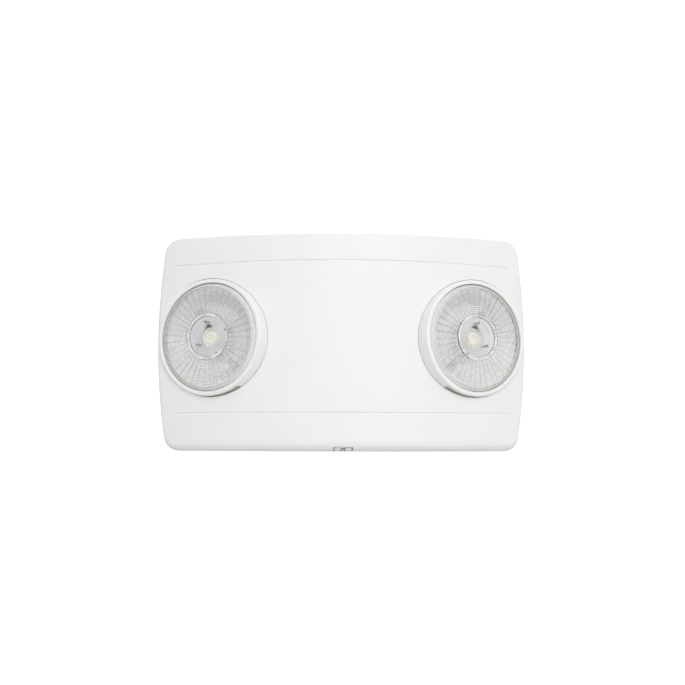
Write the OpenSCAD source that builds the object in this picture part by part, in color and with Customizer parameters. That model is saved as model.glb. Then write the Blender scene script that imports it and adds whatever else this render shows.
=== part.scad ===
// Twin head emergency light for a wall: a convex moulded housing over a flat back plate,
// with a round swivelling lamp head let into each end and a test button in the bottom edge.
// The wall is the plane y = 0, the front faces -Y, and z = 0 is the height of the lamp heads.

/* [Housing] */
// Width of the housing across its bowed sides
housing_w = 267; // [262:1:280]
// Height of the housing
housing_h = 154; // [150:1:165]
// Height of the lamp centres above the middle of the housing
lamp_rise = 4; // [2:0.5:6]
// Depth of the housing at its centre, from the wall to the front
housing_d = 66; // [65:0.5:70]
// Radius of the front face, which curves about an upright axis
front_r = 253; // [248:1:275]
// Radius of the bowed sides
side_r = 444; // [400:1:520]
// Radius of the arched top edge
top_r = 9000; // [8000:100:20000]
// Radius of the nearly straight bottom edge
bottom_r = 30000; // [25000:1000:60000]
// Radius of the outline's corners
corner_r = 11; // [9.5:0.5:14]
// Wall of the housing
wall = 2.5; // [2.2:0.1:2.8]
// Rounding where the front meets the top and the sides
edge_round = 1.5; // [1:0.1:2]
// Rounding where the front meets the bottom
bottom_round = 7; // [5:0.5:8]
// Gap between the wall and the back edge of the housing
rear_gap = 0.6; // [0.4:0.1:1]

/* [Front grooves] */
// Height of the upper groove at the middle of the front
upper_groove_z = 54; // [50:0.5:58]
// Height of the lower groove
lower_groove_z = -53.8; // [-58:0.1:-50]
// How far the ends of the upper groove lie below its middle
upper_groove_sag = 1.8; // [0:0.1:3]
// Length of each groove across the front, measured straight
groove_l = 240; // [200:1:242]
// Width of a groove at the surface
groove_w = 1.7; // [1.2:0.1:2.4]
// Depth of a groove
groove_depth = 0.9; // [0.5:0.1:1.2]

/* [Lamp seats] */
// Distance of each lamp's pivot from the side of the housing
pivot_inset = 41.6; // [40.5:0.1:42.5]
// Distance of each lamp's pivot behind the middle of the front
pivot_set = 23.7; // [22.4:0.1:24]
// Angle by which each lamp seat faces outwards
seat_angle = 20; // [18:0.5:21]
// Radius of the ball-shaped skirt of a lamp head
ball_r = 42.6; // [42:0.1:43]
// Gap between the skirt and its seat
seat_gap = 0.3; // [0.3:0.05:0.5]
// Wall of the collar that backs each seat
collar_wall = 2.8; // [2.2:0.1:3.2]
// Depth of the collar behind the pivot
collar_depth = 7; // [5:0.5:8]

/* [Lamp heads] */
// Angle by which a head is tilted away from its seat's axis, as shown
tilt_rest = 8; // [0:0.1:14]
// Turn of a head about its seat's axis, as shown
pan_rest = 21; // [-60:1:60]
// Height of the rim's front above the pivot
rim_z = 8.6; // [8.2:0.1:9]
// Rounding of the rim's outer edge
rim_lip_r = 1.1; // [0.8:0.1:1.3]
// Radius of the opening in the rim
rim_bore_r = 39; // [38.6:0.1:39.2]
// Depth from the rim's front to the lens
lens_recess = 1.7; // [1:0.1:2]
// Wall of the skirt behind the lens
skirt_wall = 2.2; // [1.8:0.1:2.4]
// Depth of the skirt behind the pivot
skirt_depth = 10; // [9:0.5:10.5]
// Depth of the thumb relief in the skirt
relief_depth = 1.3; // [0.8:0.1:1.5]
// Arc in which the thumb relief runs out
relief_arc = 42; // [30:1:55]
// Turn of the thumb relief's deep end from below the head towards the middle of the housing
relief_turn = 34; // [15:1:50]

/* [Lens] */
// Thickness of the lens at its plain edge band
lens_t = 2.3; // [2:0.1:2.6]
// Outer radius of the ringed field
field_r = 35.5; // [34:0.1:36]
// Outer radius of the raised ring round the clear window
window_ring_r = 16.8; // [16:0.1:18]
// Radius of the clear window
window_r = 14.2; // [13.5:0.1:15]
// Number of rings in the field
ring_count = 11; // [6:1:14]
// Depth of the valleys between the rings
ring_depth = 0.3; // [0.2:0.05:0.5]

/* [Test button] */
// Width of the notch in the bottom edge
notch_w = 14.2; // [13.6:0.1:16]
// Height of the notch
notch_h = 3.2; // [3:0.1:3.6]
// Travel of the button
button_travel = 1; // [0.8:0.1:1.2]

/* [Back plate] */
// Thickness of the plate
plate_t = 3; // [2.6:0.1:3]
// Gap between the plate and the housing's wall
plate_gap = 0.3; // [0.2:0.05:0.5]
// Spacing of the wall screw holes across
screw_span_x = 136; // [130:1:140]
// Spacing of the wall screw holes in height
screw_span_z = 96; // [90:1:100]
// Spacing of the screws of a single-gang box, one above the other
gang_span = 83.3; // [82:0.1:85]
// Spacing of the screws of an octagonal box, side by side
octagon_span = 88.9; // [88:0.1:90]
// Bore of the wire entry bushing
entry_bore_r = 8; // [7:0.1:8.5]

/* [Power] */
// Diameter of a battery cell
cell_d = 22; // [20:0.5:22.5]
// Length of a battery cell
cell_l = 42; // [38:0.5:43]
// Distance from each side of the control board to the pivot of the lamp on that side
board_side_clear = 51.9; // [51:0.1:55]
// Distance from the control board's upper edge to the axis of the battery
board_clear = 31; // [29:0.5:33]

/* [Hidden] */
left = -1;
right = 1;
both = [left, right];
overrun = 1;
round_fn = 96;
small_fn = 32;
upright = 90;
corner_turns = [45 : 90 : 315];

shell_white = [0.93, 0.93, 0.92];
clear = [0.82, 0.86, 0.9, 0.4];

// Housing outline
half_w = housing_w / 2;
mid_z = -lamp_rise;
top_z = mid_z + housing_h / 2;
bottom_z = mid_z - housing_h / 2;
edge_steps = 14;
corner_steps = 5;
side_steps = 5;
blend_steps = 4;

// Where the corner's centre lies, at a height above the middle of the housing
function corner_centre(edge_r, edge_h) =
    let (
        side_c = [half_w - side_r, 0],
        edge_c = [0, edge_h - edge_r],
        gap = edge_c - side_c,
        span = norm(gap),
        along = ((side_r - corner_r) ^ 2 - (edge_r - corner_r) ^ 2 + span ^ 2) / (2 * span),
        off = sqrt((side_r - corner_r) ^ 2 - along ^ 2),
        unit = gap / span
    )
    side_c + along * unit + off * [-unit[1], unit[0]];

function arc_place(centre, radius, angle) = [
    centre + radius * [cos(angle), sin(angle)],
    [cos(angle), sin(angle)]
];

function heading(from, to) = atan2(to[1] - from[1], to[0] - from[0]);

// One quarter of the outline from the middle of an edge to the middle of a side:
// each entry is a point, its outward normal and its share of the edge's own rounding
function quarter(edge_r) =
    let (
        edge_h = housing_h / 2,
        edge_c = [0, edge_h - edge_r],
        side_c = [half_w - side_r, 0],
        centre = corner_centre(edge_r, edge_h),
        edge_a = heading(edge_c, centre),
        side_a = heading(side_c, centre)
    )
    concat(
        [for (i = [0 : edge_steps - 1])
            concat(arc_place(edge_c, edge_r, upright + (edge_a - upright) * i / edge_steps), [1])],
        [for (i = [0 : corner_steps])
            concat(
                arc_place(centre, corner_r, edge_a + (side_a - edge_a) * i / corner_steps),
                [1 - i / corner_steps]
            )],
        [for (i = [1 : side_steps])
            concat(arc_place(side_c, side_r, side_a * (1 - i / side_steps)), [0])]
    );

upper_quarter = quarter(top_r);
lower_quarter = quarter(bottom_r);
quarter_n = len(upper_quarter);
rim_n = 4 * (quarter_n - 1);

// Outline from the middle of the left side over the top, right side and bottom, each entry
// with its point, normal and rounding radius
function placed(entry, x_sign, z_sign, edge_blend) = [
    [x_sign * entry[0][0], mid_z + z_sign * entry[0][1]],
    [x_sign * entry[1][0], z_sign * entry[1][1]],
    edge_round + (edge_blend - edge_round) * entry[2]
];
outline = concat(
    [for (i = [quarter_n - 1 : -1 : 1]) placed(upper_quarter[i], -1, 1, edge_round)],
    [for (i = [0 : quarter_n - 1]) placed(upper_quarter[i], 1, 1, edge_round)],
    [for (i = [quarter_n - 2 : -1 : 0]) placed(lower_quarter[i], 1, -1, bottom_round)],
    [for (i = [1 : quarter_n - 2]) placed(lower_quarter[i], -1, -1, bottom_round)]
);

function inset_point(entry, depth) = entry[0] - depth * entry[1];
function outline_points(depth) = [for (entry = outline) inset_point(entry, depth)];

// Depth of the front surface at a place across it, for a skin set back by some depth
function front_y(x, depth) = front_r - housing_d - sqrt((front_r - depth) ^ 2 - x ^ 2);

// One ring of the housing's skin, at an angle round the front edge's rounding
function skin_ring(depth, angle) = [
    for (entry = outline)
        let (
            blend = max(entry[2] - depth, edge_round / 4),
            at = inset_point(entry, depth + blend * (1 - cos(angle)))
        )
        [at[0], front_y(at[0], depth) + blend * (1 - sin(angle)), at[1]]
];
function back_ring(depth, y) = [for (at = outline_points(depth)) [at[0], y, at[1]]];

// Closed solid inside the housing's skin set back by some depth, from y to the front
module housing_body(depth, y) {
    rings = concat(
        [back_ring(depth, y)],
        [for (i = [0 : blend_steps]) skin_ring(depth, 90 * i / blend_steps)]
    );
    half_n = rim_n / 2;
    last = len(rings) - 1;
    walls = [for (k = [0 : last - 1], i = [0 : rim_n - 1])
        let (j = (i + 1) % rim_n, low = k * rim_n, high = low + rim_n)
        each [[low + i, low + j, high + j], [low + i, high + j, high + i]]];
    lower = function (i) (rim_n - i) % rim_n;
    face = [for (i = [0 : half_n - 1])
        let (from = last * rim_n, a = from + i, b = from + i + 1)
        each concat(
            i == half_n - 1 ? [] : [[a, b, from + lower(i + 1)]],
            i == 0 ? [] : [[a, i == half_n - 1 ? b : from + lower(i + 1), from + lower(i)]]
        )];
    polyhedron(
        points = [for (ring = rings) each ring],
        faces = concat([[for (i = [rim_n - 1 : -1 : 0]) i]], walls, face)
    );
}

// Tube of a lead: a ring of points round each place on its route
function unit(v) = v / norm(v);
function lead_ring(route, k, radius, sides) =
    let (
        last = len(route) - 1,
        ahead = unit(route[min(k + 1, last)] - route[max(k - 1, 0)]),
        across = unit(cross(ahead, abs(ahead[2]) < 0.8 ? [0, 0, 1] : [1, 0, 0])),
        up = cross(across, ahead)
    )
    [for (i = [0 : sides - 1])
        route[k] + radius * (cos(360 * i / sides) * across + sin(360 * i / sides) * up)];

module lead(route, radius, sides = 8) {
    n = len(route);
    polyhedron(
        points = [for (k = [0 : n - 1]) each lead_ring(route, k, radius, sides)],
        faces = concat(
            [[for (i = [0 : sides - 1]) i]],
            [[for (i = [sides - 1 : -1 : 0]) (n - 1) * sides + i]],
            [for (k = [0 : n - 2], i = [0 : sides - 1])
                let (j = (i + 1) % sides, a = k * sides, b = a + sides)
                each [[a + i, b + i, b + j], [a + i, b + j, a + j]]]
        )
    );
}

// Smooth route through hand-chosen places
function bend(p, k, t) =
    let (
        last = len(p) - 1,
        a = p[max(k - 1, 0)], b = p[k], c = p[k + 1], d = p[min(k + 2, last)]
    )
    0.5 * (2 * b + (c - a) * t + (2 * a - 5 * b + 4 * c - d) * t ^ 2
        + (3 * b - a - 3 * c + d) * t ^ 3);
lead_steps = 5;
function smooth(p) = concat(
    [for (k = [0 : len(p) - 2], i = [0 : lead_steps - 1]) bend(p, k, i / lead_steps)],
    [p[len(p) - 1]]
);
function mirrored(route, side) = [for (p = route) [side * p[0], p[1], p[2]]];

// Route whose two ends are moved to given places and its middle along with them; its first
// places up to a held one keep with its start
function tied(route, start, end, held = 0) =
    let (last = len(route) - 1)
    [for (k = [0 : last])
        let (share = max(0, k - held) / (last - held))
        route[k] + (1 - share) * (start - route[0]) + share * (end - route[last])];

// Frames: a seat's axis is +Z of its own frame, and the pivot is its origin
pivot_x = half_w - pivot_inset;
pivot_d = housing_d - pivot_set;
module seat(side) {
    mirror([side < 0 ? 1 : 0, 0, 0])
        translate([pivot_x, -pivot_d, 0])
            rotate([90, 0, seat_angle])
                children();
}
module pan_frame(side) {
    seat(side) rotate([0, 0, pan_rest]) children();
}
module head_frame(side) {
    pan_frame(side) rotate([0, tilt_rest, 0]) children();
}
// A place in a seat's frame, given in the part's frame
function from_seat(p) = [
    pivot_x + p[0] * cos(seat_angle) + p[2] * sin(seat_angle),
    -pivot_d + p[0] * sin(seat_angle) - p[2] * cos(seat_angle),
    p[1]
];

// Screws: pan heads with a plain shank, the head's seat at z = 0 and the shank below it
screw_r = 1.25;
screw_head_r = 2.4;
screw_head_h = 1.5;
screw_l = 8;
recess_r = 1.2;
recess_depth = 0.8;
recess_sides = 4;
module screw(length = screw_l) {
    difference() {
        union() {
            cylinder(r = screw_head_r, h = screw_head_h, $fn = small_fn);
            translate([0, 0, -length]) cylinder(r = screw_r, h = length, $fn = small_fn);
        }
        translate([0, 0, screw_head_h - recess_depth])
            cylinder(r = recess_r, h = recess_depth + overrun, $fn = recess_sides);
    }
}

// Turntable and its bracket, in the seat's frame
hub_r = 6;
hub_bore_r = 3.6;
hub_gap = 0.05;
bridge_z = 18;
bridge_t = 2.5;
bridge_w = 16;
washer_t = 1.3;
bracket_t = 3;
bridge_back = bridge_z + bridge_t;
bracket_front = bridge_back + washer_t;
bracket_back = bracket_front + bracket_t;
hub_stub = 3.2;
hub_back = bracket_back + hub_stub;
clip_t = 0.9;
clip_gap = 0.1;
clip_r = 9;
clip_groove = 1.05;
boss_r = 3.2;
boss_clear = 1.3;
bracket_pcd_r = ball_r + seat_gap + boss_r + boss_clear;
bracket_arm_w = 9;
bracket_disc_r = 18;
stop_r = 12;
stop_pin_r = 1.5;
stop_slot = 0.3;
stop_depth = 1.6;
stop_web_arc = 30;
arm_in = 34.9;
arm_t = 3;
arm_out = arm_in + arm_t;
arm_w = 8;
arm_tip_r = 3;
pin_r = 1.55;
pin_gap = 0.05;
pin_out = 41.6;

module lamp_bracket(side) {
    color("gainsboro")
        seat(side) difference() {
            union() {
                translate([0, 0, -bracket_back])
                    cylinder(r = bracket_disc_r, h = bracket_t, $fn = round_fn);
                for (a = [45, 135])
                    rotate([0, 0, a])
                        translate([-bracket_pcd_r, -bracket_arm_w / 2, -bracket_back])
                            cube([2 * bracket_pcd_r, bracket_arm_w, bracket_t]);
                for (a = corner_turns)
                    rotate([0, 0, a]) translate([bracket_pcd_r, 0, -bracket_back])
                        cylinder(r = bracket_arm_w / 2, h = bracket_t, $fn = small_fn);
            }
            translate([0, 0, -bracket_back - overrun])
                cylinder(r = hub_r + hub_gap, h = bracket_t + 2 * overrun, $fn = round_fn);
            for (a = corner_turns)
                rotate([0, 0, a]) translate([bracket_pcd_r, 0, -bracket_back - overrun])
                    cylinder(r = screw_r + seat_gap, h = bracket_t + 2 * overrun, $fn = small_fn);
            rotate([0, 0, pan_rest - 90 + stop_web_arc / 2])
                translate([0, 0, -bracket_front - stop_depth])
                    rotate_extrude(angle = 360 - stop_web_arc, $fn = round_fn)
                        translate([stop_r - stop_pin_r - stop_slot, 0])
                            square([2 * (stop_pin_r + stop_slot), stop_depth + overrun]);
        }
}

module turntable(side) {
    color("lightgray")
        pan_frame(side) difference() {
            union() {
                translate([-bridge_w / 2, -arm_out, -bridge_back])
                    cube([bridge_w, 2 * arm_out, bridge_t]);
                translate([0, 0, -hub_back])
                    cylinder(r = hub_r, h = hub_back - bridge_z, $fn = round_fn);
                translate([0, stop_r, -bracket_front - stop_depth + stop_slot])
                    cylinder(r = stop_pin_r, h = washer_t + stop_depth, $fn = small_fn);
                for (s = both) {
                    translate([-arm_w / 2, s > 0 ? arm_in : -arm_out, -bridge_back])
                        cube([arm_w, arm_t, bridge_back - 2 * arm_tip_r]);
                    translate([-arm_tip_r, s > 0 ? arm_in : -arm_out, -bridge_back])
                        cube([2 * arm_tip_r, arm_t, bridge_back]);
                    translate([0, s > 0 ? arm_out : -arm_in, 0])
                        rotate([90, 0, 0]) cylinder(r = arm_tip_r, h = arm_t, $fn = small_fn);
                }
            }
            translate([0, 0, -hub_back - overrun])
                cylinder(r = hub_bore_r, h = hub_back, $fn = round_fn);
            rotate([90, 0, 0]) translate([0, 0, -arm_out - overrun])
                cylinder(r = pin_r + pin_gap, h = 2 * (arm_out + overrun), $fn = small_fn);
            translate([0, 0, -bracket_back - clip_gap - clip_t]) difference() {
                cylinder(r = hub_r + overrun, h = clip_t, $fn = round_fn);
                cylinder(r = hub_r - clip_groove, h = clip_t, $fn = round_fn);
            }
        }
}

module pan_washer(side) {
    color("dimgray")
        pan_frame(side) translate([0, 0, -bracket_front]) difference() {
            cylinder(r = stop_r - stop_pin_r - stop_slot - 2 * seat_gap, h = washer_t, $fn = round_fn);
            translate([0, 0, -overrun])
                cylinder(r = hub_r + seat_gap, h = washer_t + 2 * overrun, $fn = round_fn);
        }
}

module hub_clip(side) {
    clip_bore_r = hub_r - clip_groove;
    color("silver")
        pan_frame(side) translate([0, 0, -bracket_back - clip_gap - clip_t]) difference() {
            cylinder(r = clip_r, h = clip_t, $fn = round_fn);
            translate([0, 0, -overrun])
                cylinder(r = clip_bore_r, h = clip_t + 2 * overrun, $fn = round_fn);
            translate([0, -clip_bore_r, -overrun])
                cube([clip_r + overrun, 2 * clip_bore_r, clip_t + 2 * overrun]);
        }
}

// Head shell and lens, in the head's frame
lens_top = rim_z - lens_recess;
lens_back = lens_top - lens_t;
lens_gap = 0.3;
ledge_w = 1.8;
ledge_t = 1;
skirt_in_r = ball_r - skirt_wall;
bore_r = 39.7;
bore_end_z = -sqrt(skirt_in_r ^ 2 - bore_r ^ 2);
shell_steps = 14;
lip_steps = 4;
skirt_top_z = rim_z - rim_lip_r;
rim_r = sphere_r(ball_r, skirt_top_z);
relief_top_z = 6.4;
tray_boss_x = 35.4;
tray_boss_r = 2.8;
tray_boss_top = -1.2;
tray_boss_l = 7;

function sphere_r(radius, z) = sqrt(radius ^ 2 - z ^ 2);
shell_profile = concat(
    [for (i = [0 : shell_steps - 1])
        let (z = -skirt_depth + (skirt_top_z + skirt_depth) * i / shell_steps)
        [sphere_r(ball_r, z), z]],
    [for (i = [0 : lip_steps])
        let (a = 90 * i / lip_steps)
        [rim_r - rim_lip_r * (1 - cos(a)), rim_z - rim_lip_r * (1 - sin(a))]],
    [[rim_bore_r + rim_lip_r / 3, rim_z], [rim_bore_r, rim_z - rim_lip_r / 3]],
    [[rim_bore_r, lens_back], [rim_bore_r - ledge_w, lens_back]],
    [[rim_bore_r - ledge_w, lens_back - ledge_t], [bore_r, lens_back - 2 * ledge_t]],
    [for (i = [0 : 3])
        let (z = bore_end_z + (-skirt_depth - bore_end_z) * i / 3)
        [sphere_r(skirt_in_r, z), z]]
);

module head_shell(side) {
    color(shell_white)
        head_frame(side) difference() {
            union() {
                rotate_extrude($fn = round_fn) polygon(shell_profile);
                for (s = both) {
                    translate([s * tray_boss_x, 0, tray_boss_top - tray_boss_l])
                        cylinder(r = tray_boss_r, h = tray_boss_l, $fn = small_fn);
                    translate([
                        s > 0 ? tray_boss_x : -tray_boss_x - ball_r + bore_r - tray_boss_r,
                        -tray_boss_r / 2,
                        tray_boss_top - tray_boss_l
                    ])
                        cube([tray_boss_r + ball_r - bore_r, tray_boss_r, tray_boss_l]);
                }
            }
            for (s = both)
                translate([s * tray_boss_x, 0, tray_boss_top - tray_boss_l + overrun])
                    cylinder(r = screw_r, h = tray_boss_l, $fn = small_fn);
            for (s = both)
                translate([0, s > 0 ? pin_out : -arm_out + overrun, 0])
                    rotate([90, 0, 0])
                        cylinder(r = pin_r, h = pin_out - arm_out + overrun, $fn = small_fn);
            rotate([0, 0, -upright - pan_rest - relief_turn]) thumb_relief();
        }
}
// Crescent outside a round that lies off the head's axis, square at its deep end on +X and
// running out towards +Y
module thumb_relief() {
    deep_r = rim_r - relief_depth;
    shift = (ball_r - deep_r) / (1 - cos(relief_arc));
    reach = ball_r + 2 * overrun;
    difference() {
        cylinder_from(-skirt_depth - overrun, relief_top_z, ball_r + overrun);
        translate([-shift, 0, 0])
            cylinder_from(-skirt_depth - 2 * overrun, relief_top_z + overrun, deep_r + shift);
        translate([-reach, -reach, -skirt_depth - 2 * overrun])
            cube([2 * reach, reach, relief_top_z + skirt_depth + 3 * overrun]);
    }
}

ring_w = (field_r - window_ring_r) / ring_count;
lens_r = rim_bore_r - lens_gap;
field_rise = 0.9;
window_drop = 0.5;
ring_root = lens_back + lens_t / 4;
lens_profile = concat(
    [[0, lens_top + field_rise - window_drop]],
    [[window_r, lens_top + field_rise - window_drop], [window_r, lens_top + field_rise + window_drop]],
    [[window_ring_r, lens_top + field_rise + window_drop], [window_ring_r, lens_top + field_rise]],
    [[field_r, lens_top + lens_gap], [field_r + lens_gap, lens_top], [lens_r, lens_top]],
    [[lens_r, lens_back], [field_r, lens_back]],
    [for (i = [0 : ring_count - 1])
        each [
            [field_r - i * ring_w, ring_root + ring_depth],
            [field_r - (i + 0.5) * ring_w, ring_root]
        ]],
    [[window_ring_r, ring_root + ring_depth], [0, ring_root + ring_depth]]
);

module lens(side) {
    color(clear)
        head_frame(side) rotate_extrude($fn = round_fn) polygon(lens_profile);
}

// Light engine, in the head's frame
sink_r = 26;
sink_t = 2;
tray_t = 1.2;
tray_floor_z = -5.1;
sink_top = tray_floor_z - tray_t;
sink_pad_r = 13.4;
board_t = 1.2;
pad_z = -2.5;
led_board_top = pad_z + board_t;
fin_h = 4.2;
fin_t = 1.3;
fin_spacing = 4;
fin_count = 7;
fin_r = 14;
tray_gap = 0.3;
tray_top = lens_back - tray_gap;
tray_top_r = 33;
tray_flange_r = rim_bore_r - ledge_w - tray_gap;
tray_flange_t = 0.7;
tray_ear_w = 7;
tray_ear_end = 37.6;
sink_screw_r = 22.5;
sink_screw_angle = 33;
lead_slot = [4.8, 9];
lead_slot_place = [8, 3.1];

module lamp_tray(side) {
    color("white")
        head_frame(side) difference() {
            union() {
                rotate_extrude($fn = round_fn) polygon([
                    [sink_pad_r + lens_gap, tray_floor_z - tray_t],
                    [sink_r, tray_floor_z - tray_t],
                    [tray_top_r + tray_t, tray_top - tray_flange_t],
                    [tray_flange_r, tray_top - tray_flange_t],
                    [tray_flange_r, tray_top],
                    [tray_top_r, tray_top],
                    [sink_r - tray_t / 2, tray_floor_z],
                    [sink_pad_r + lens_gap, tray_floor_z]
                ]);
                for (s = both)
                    translate([s > 0 ? sink_r + tray_t : -tray_ear_end, -tray_ear_w / 2, tray_boss_top])
                        cube([tray_ear_end - sink_r - tray_t, tray_ear_w, tray_t]);
            }
            rotate_extrude($fn = round_fn) polygon([
                [0, tray_floor_z],
                [sink_r - tray_t / 2, tray_floor_z],
                [tray_top_r, tray_top],
                [tray_top_r, tray_top + overrun],
                [0, tray_top + overrun]
            ]);
            for (s = both)
                translate([s * tray_boss_x, 0, tray_boss_top - overrun])
                    cylinder(r = screw_r, h = tray_t + 2 * overrun, $fn = small_fn);
            for (a = [sink_screw_angle, sink_screw_angle + 180])
                rotate([0, 0, a]) translate([sink_screw_r, 0, sink_top - overrun])
                    cylinder(r = screw_r, h = tray_t + 2 * overrun, $fn = small_fn);
        }
}

module heat_sink(side) {
    color("silver")
        head_frame(side) difference() {
            union() {
                translate([0, 0, sink_top - sink_t])
                    cylinder(r = sink_r, h = sink_t, $fn = round_fn);
                cylinder_from(sink_top, pad_z, sink_pad_r);
                intersection() {
                    cylinder_from(sink_top - sink_t - fin_h, sink_top - sink_t, fin_r);
                    for (i = [0 : fin_count - 1])
                        translate([
                            -fin_r,
                            (i - (fin_count - 1) / 2) * fin_spacing - fin_t / 2,
                            sink_top - sink_t - fin_h
                        ])
                            cube([2 * fin_r, fin_t, fin_h]);
                }
            }
            for (a = [sink_screw_angle, sink_screw_angle + 180])
                rotate([0, 0, a]) translate([sink_screw_r, 0, sink_top - sink_t - overrun])
                    cylinder(r = screw_r, h = sink_t + 2 * overrun, $fn = small_fn);
            slot_from(sink_top - sink_t - fin_h - overrun, pad_z + overrun);
        }
}
module cylinder_from(low, high, radius) {
    translate([0, 0, low]) cylinder(r = radius, h = high - low, $fn = round_fn);
}
// Opening in the heat sink and the LED's board for the lead that comes up to the board
module slot_from(low, high) {
    translate([
        lead_slot_place[0] - lead_slot[0] / 2,
        lead_slot_place[1] - lead_slot[1] / 2,
        low
    ])
        cube([lead_slot[0], lead_slot[1], high - low]);
}

module led_board(side) {
    color("ivory")
        head_frame(side) difference() {
            cylinder_from(pad_z, led_board_top, sink_pad_r);
            slot_from(pad_z - overrun, led_board_top + overrun);
        }
}

led_w = 5;
led_base_h = 0.7;
led_dome_r = 1.7;
module led(side) {
    color("gold")
        head_frame(side) translate([0, 0, led_board_top]) union() {
            translate([-led_w / 2, -led_w / 2, 0]) cube([led_w, led_w, led_base_h]);
            translate([0, 0, led_base_h / 2]) intersection() {
                sphere(r = led_dome_r, $fn = small_fn);
                translate([-led_w, -led_w, 0]) cube([2 * led_w, 2 * led_w, led_w]);
            }
        }
}

cone_foot_r = 4.6;
cone_top_r = 7.2;
cone_flange_r = 13.6;
cone_bore_r = 3.9;
cone_bore_h = 3;
cone_lip_t = 0.8;
cone_gap = 0.3;
cone_top = ring_root + ring_depth - cone_gap;
cone_dish_r = 5;
cone_dish_depth = 1;
cone_foot_gap = 0.1;
cone_foot_z = led_board_top + cone_foot_gap;
leg_r = 0.9;
leg_place_r = 12.4;
cone_steps = 6;
module collimator(side) {
    cone_h = cone_top - cone_lip_t - cone_foot_z;
    color(clear)
        head_frame(side) union() {
            rotate_extrude($fn = round_fn) polygon(concat(
                [[cone_bore_r, cone_foot_z]],
                [for (i = [0 : cone_steps])
                    let (t = i / cone_steps)
                    [
                        cone_foot_r + (cone_top_r - cone_foot_r) * t ^ 0.8,
                        cone_foot_z + cone_h * t
                    ]],
                [[cone_flange_r, cone_top - cone_lip_t], [cone_flange_r, cone_top]],
                [[cone_dish_r, cone_top]],
                [[cone_dish_r - cone_lip_t, cone_top - cone_dish_depth], [0, cone_top - cone_dish_depth / 2]],
                [[0, cone_foot_z + cone_bore_h - cone_dish_depth / 2], [cone_bore_r, cone_foot_z + cone_bore_h]]
            ));
            for (a = corner_turns)
                rotate([0, 0, a]) translate([leg_place_r, 0, led_board_top])
                    cylinder(r = leg_r, h = cone_top - cone_lip_t / 2 - led_board_top, $fn = small_fn);
        }
}

module lamp_screws(side) {
    color("dimgray") {
        head_frame(side) {
            for (s = both)
                translate([s * tray_boss_x, 0, tray_boss_top + tray_t])
                    screw(tray_boss_l - overrun);
            for (a = [sink_screw_angle, sink_screw_angle + 180])
                rotate([0, 0, a]) translate([sink_screw_r, 0, tray_floor_z])
                    screw(tray_t + sink_t);
        }
    }
}

module tilt_pins(side) {
    color("silver")
        head_frame(side)
            for (s = both)
                translate([0, s > 0 ? pin_out : -arm_in, 0])
                    rotate([90, 0, 0]) cylinder(r = pin_r, h = pin_out - arm_in, $fn = small_fn);
}

wire_r = 0.75;
wire_gap = 0.02;
head_lead_route = [
    [8, -4, -0.5], [8, -2, -0.3], [8, -0.2, -0.8], [8, 1.4, -2.4], [8, 2.4, -5], [8, 2.6, -8],
    [7.6, 2.4, -12], [5.2, 1.4, -14.2], [2.2, 0.6, -15.2], [-1, 0, -15.6]
];
module head_lead(side) {
    offset = wire_r + wire_gap;
    color("whitesmoke")
        head_frame(side)
            for (s = both)
                translate([s * offset, -s * offset, 0]) lead(smooth(head_lead_route), wire_r);
}

// Housing
button_x = 3.9;
lobe_w = 4.2;
lobe_h = 3;
lobe_back = 20;
lobe_front = 3.4;
lobe_gap = 0.1;
guide_t = 1.6;
guide_rise = 10;
guide_z = bottom_z + guide_rise;
stem_w = 3;
stem_back = 18;
stem_gap = 0.3;
battery_drop = 16;
battery_z = top_z - battery_drop;
battery_set = 32;
battery_d = housing_d - battery_set;
cell_count = 3;
battery_span = cell_count * cell_l;
board_set = 26;
board_d = housing_d - board_set;
board_rise = 19;
board_low = bottom_z + board_rise;
board_h = battery_z - board_clear - board_low;
board_w = 2 * (pivot_x - board_side_clear);
post_r = 3.6;
post_inset = 5;
post_x = board_w / 2 - post_inset;
post_z = [board_low + post_inset, board_low + board_h - post_inset];
sleeve_t = 0.4;
saddle_t = 3;
saddle_x = [-52, -20, 20, 52];
retainer_w = 12;
retainer_t = 1.6;
retainer_reach = 5;
retainer_boss_z = battery_z - cell_d / 2 - retainer_reach;
ledge_y = 11;
hook_w = 12;
hook_x = 60;
hook_t = 1.6;
hook_reach = 1;
hook_l = 14;

// Everything moulded inside the housing, before the skin trims it
module cover_inner_forms() {
    for (side = both)
        seat(side) {
            cylinder_from(-collar_depth, ball_r / 2, ball_r + seat_gap + collar_wall);
            for (a = corner_turns)
                rotate([0, 0, a]) translate([bracket_pcd_r, 0, -bracket_front])
                    cylinder(r = boss_r, h = bracket_front + ball_r / 2, $fn = small_fn);
        }
    for (x = [-post_x, post_x], z = post_z)
        translate([x, -board_d, z]) rotate([90, 0, 0])
            cylinder(r = post_r, h = housing_d, $fn = small_fn);
    for (x = saddle_x)
        translate([x - saddle_t / 2, -housing_d, battery_z - cell_d / 2])
            cube([saddle_t, housing_d - battery_d, cell_d]);
    translate([0, -battery_d - retainer_t, retainer_boss_z]) rotate([90, 0, 0])
        cylinder(r = post_r, h = housing_d, $fn = small_fn);
    translate([-button_x - stem_w, -housing_d, guide_z])
        cube([2 * (button_x + stem_w), stem_back + stem_w, guide_t]);
    for (s = both, x = [-hook_x, hook_x])
        translate([
            x - hook_w / 2,
            -ledge_y - hook_t,
            s > 0 ? top_z - wall - hook_reach : bottom_z + overrun
        ])
            cube([hook_w, hook_t, wall + hook_reach - overrun]);
}

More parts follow.
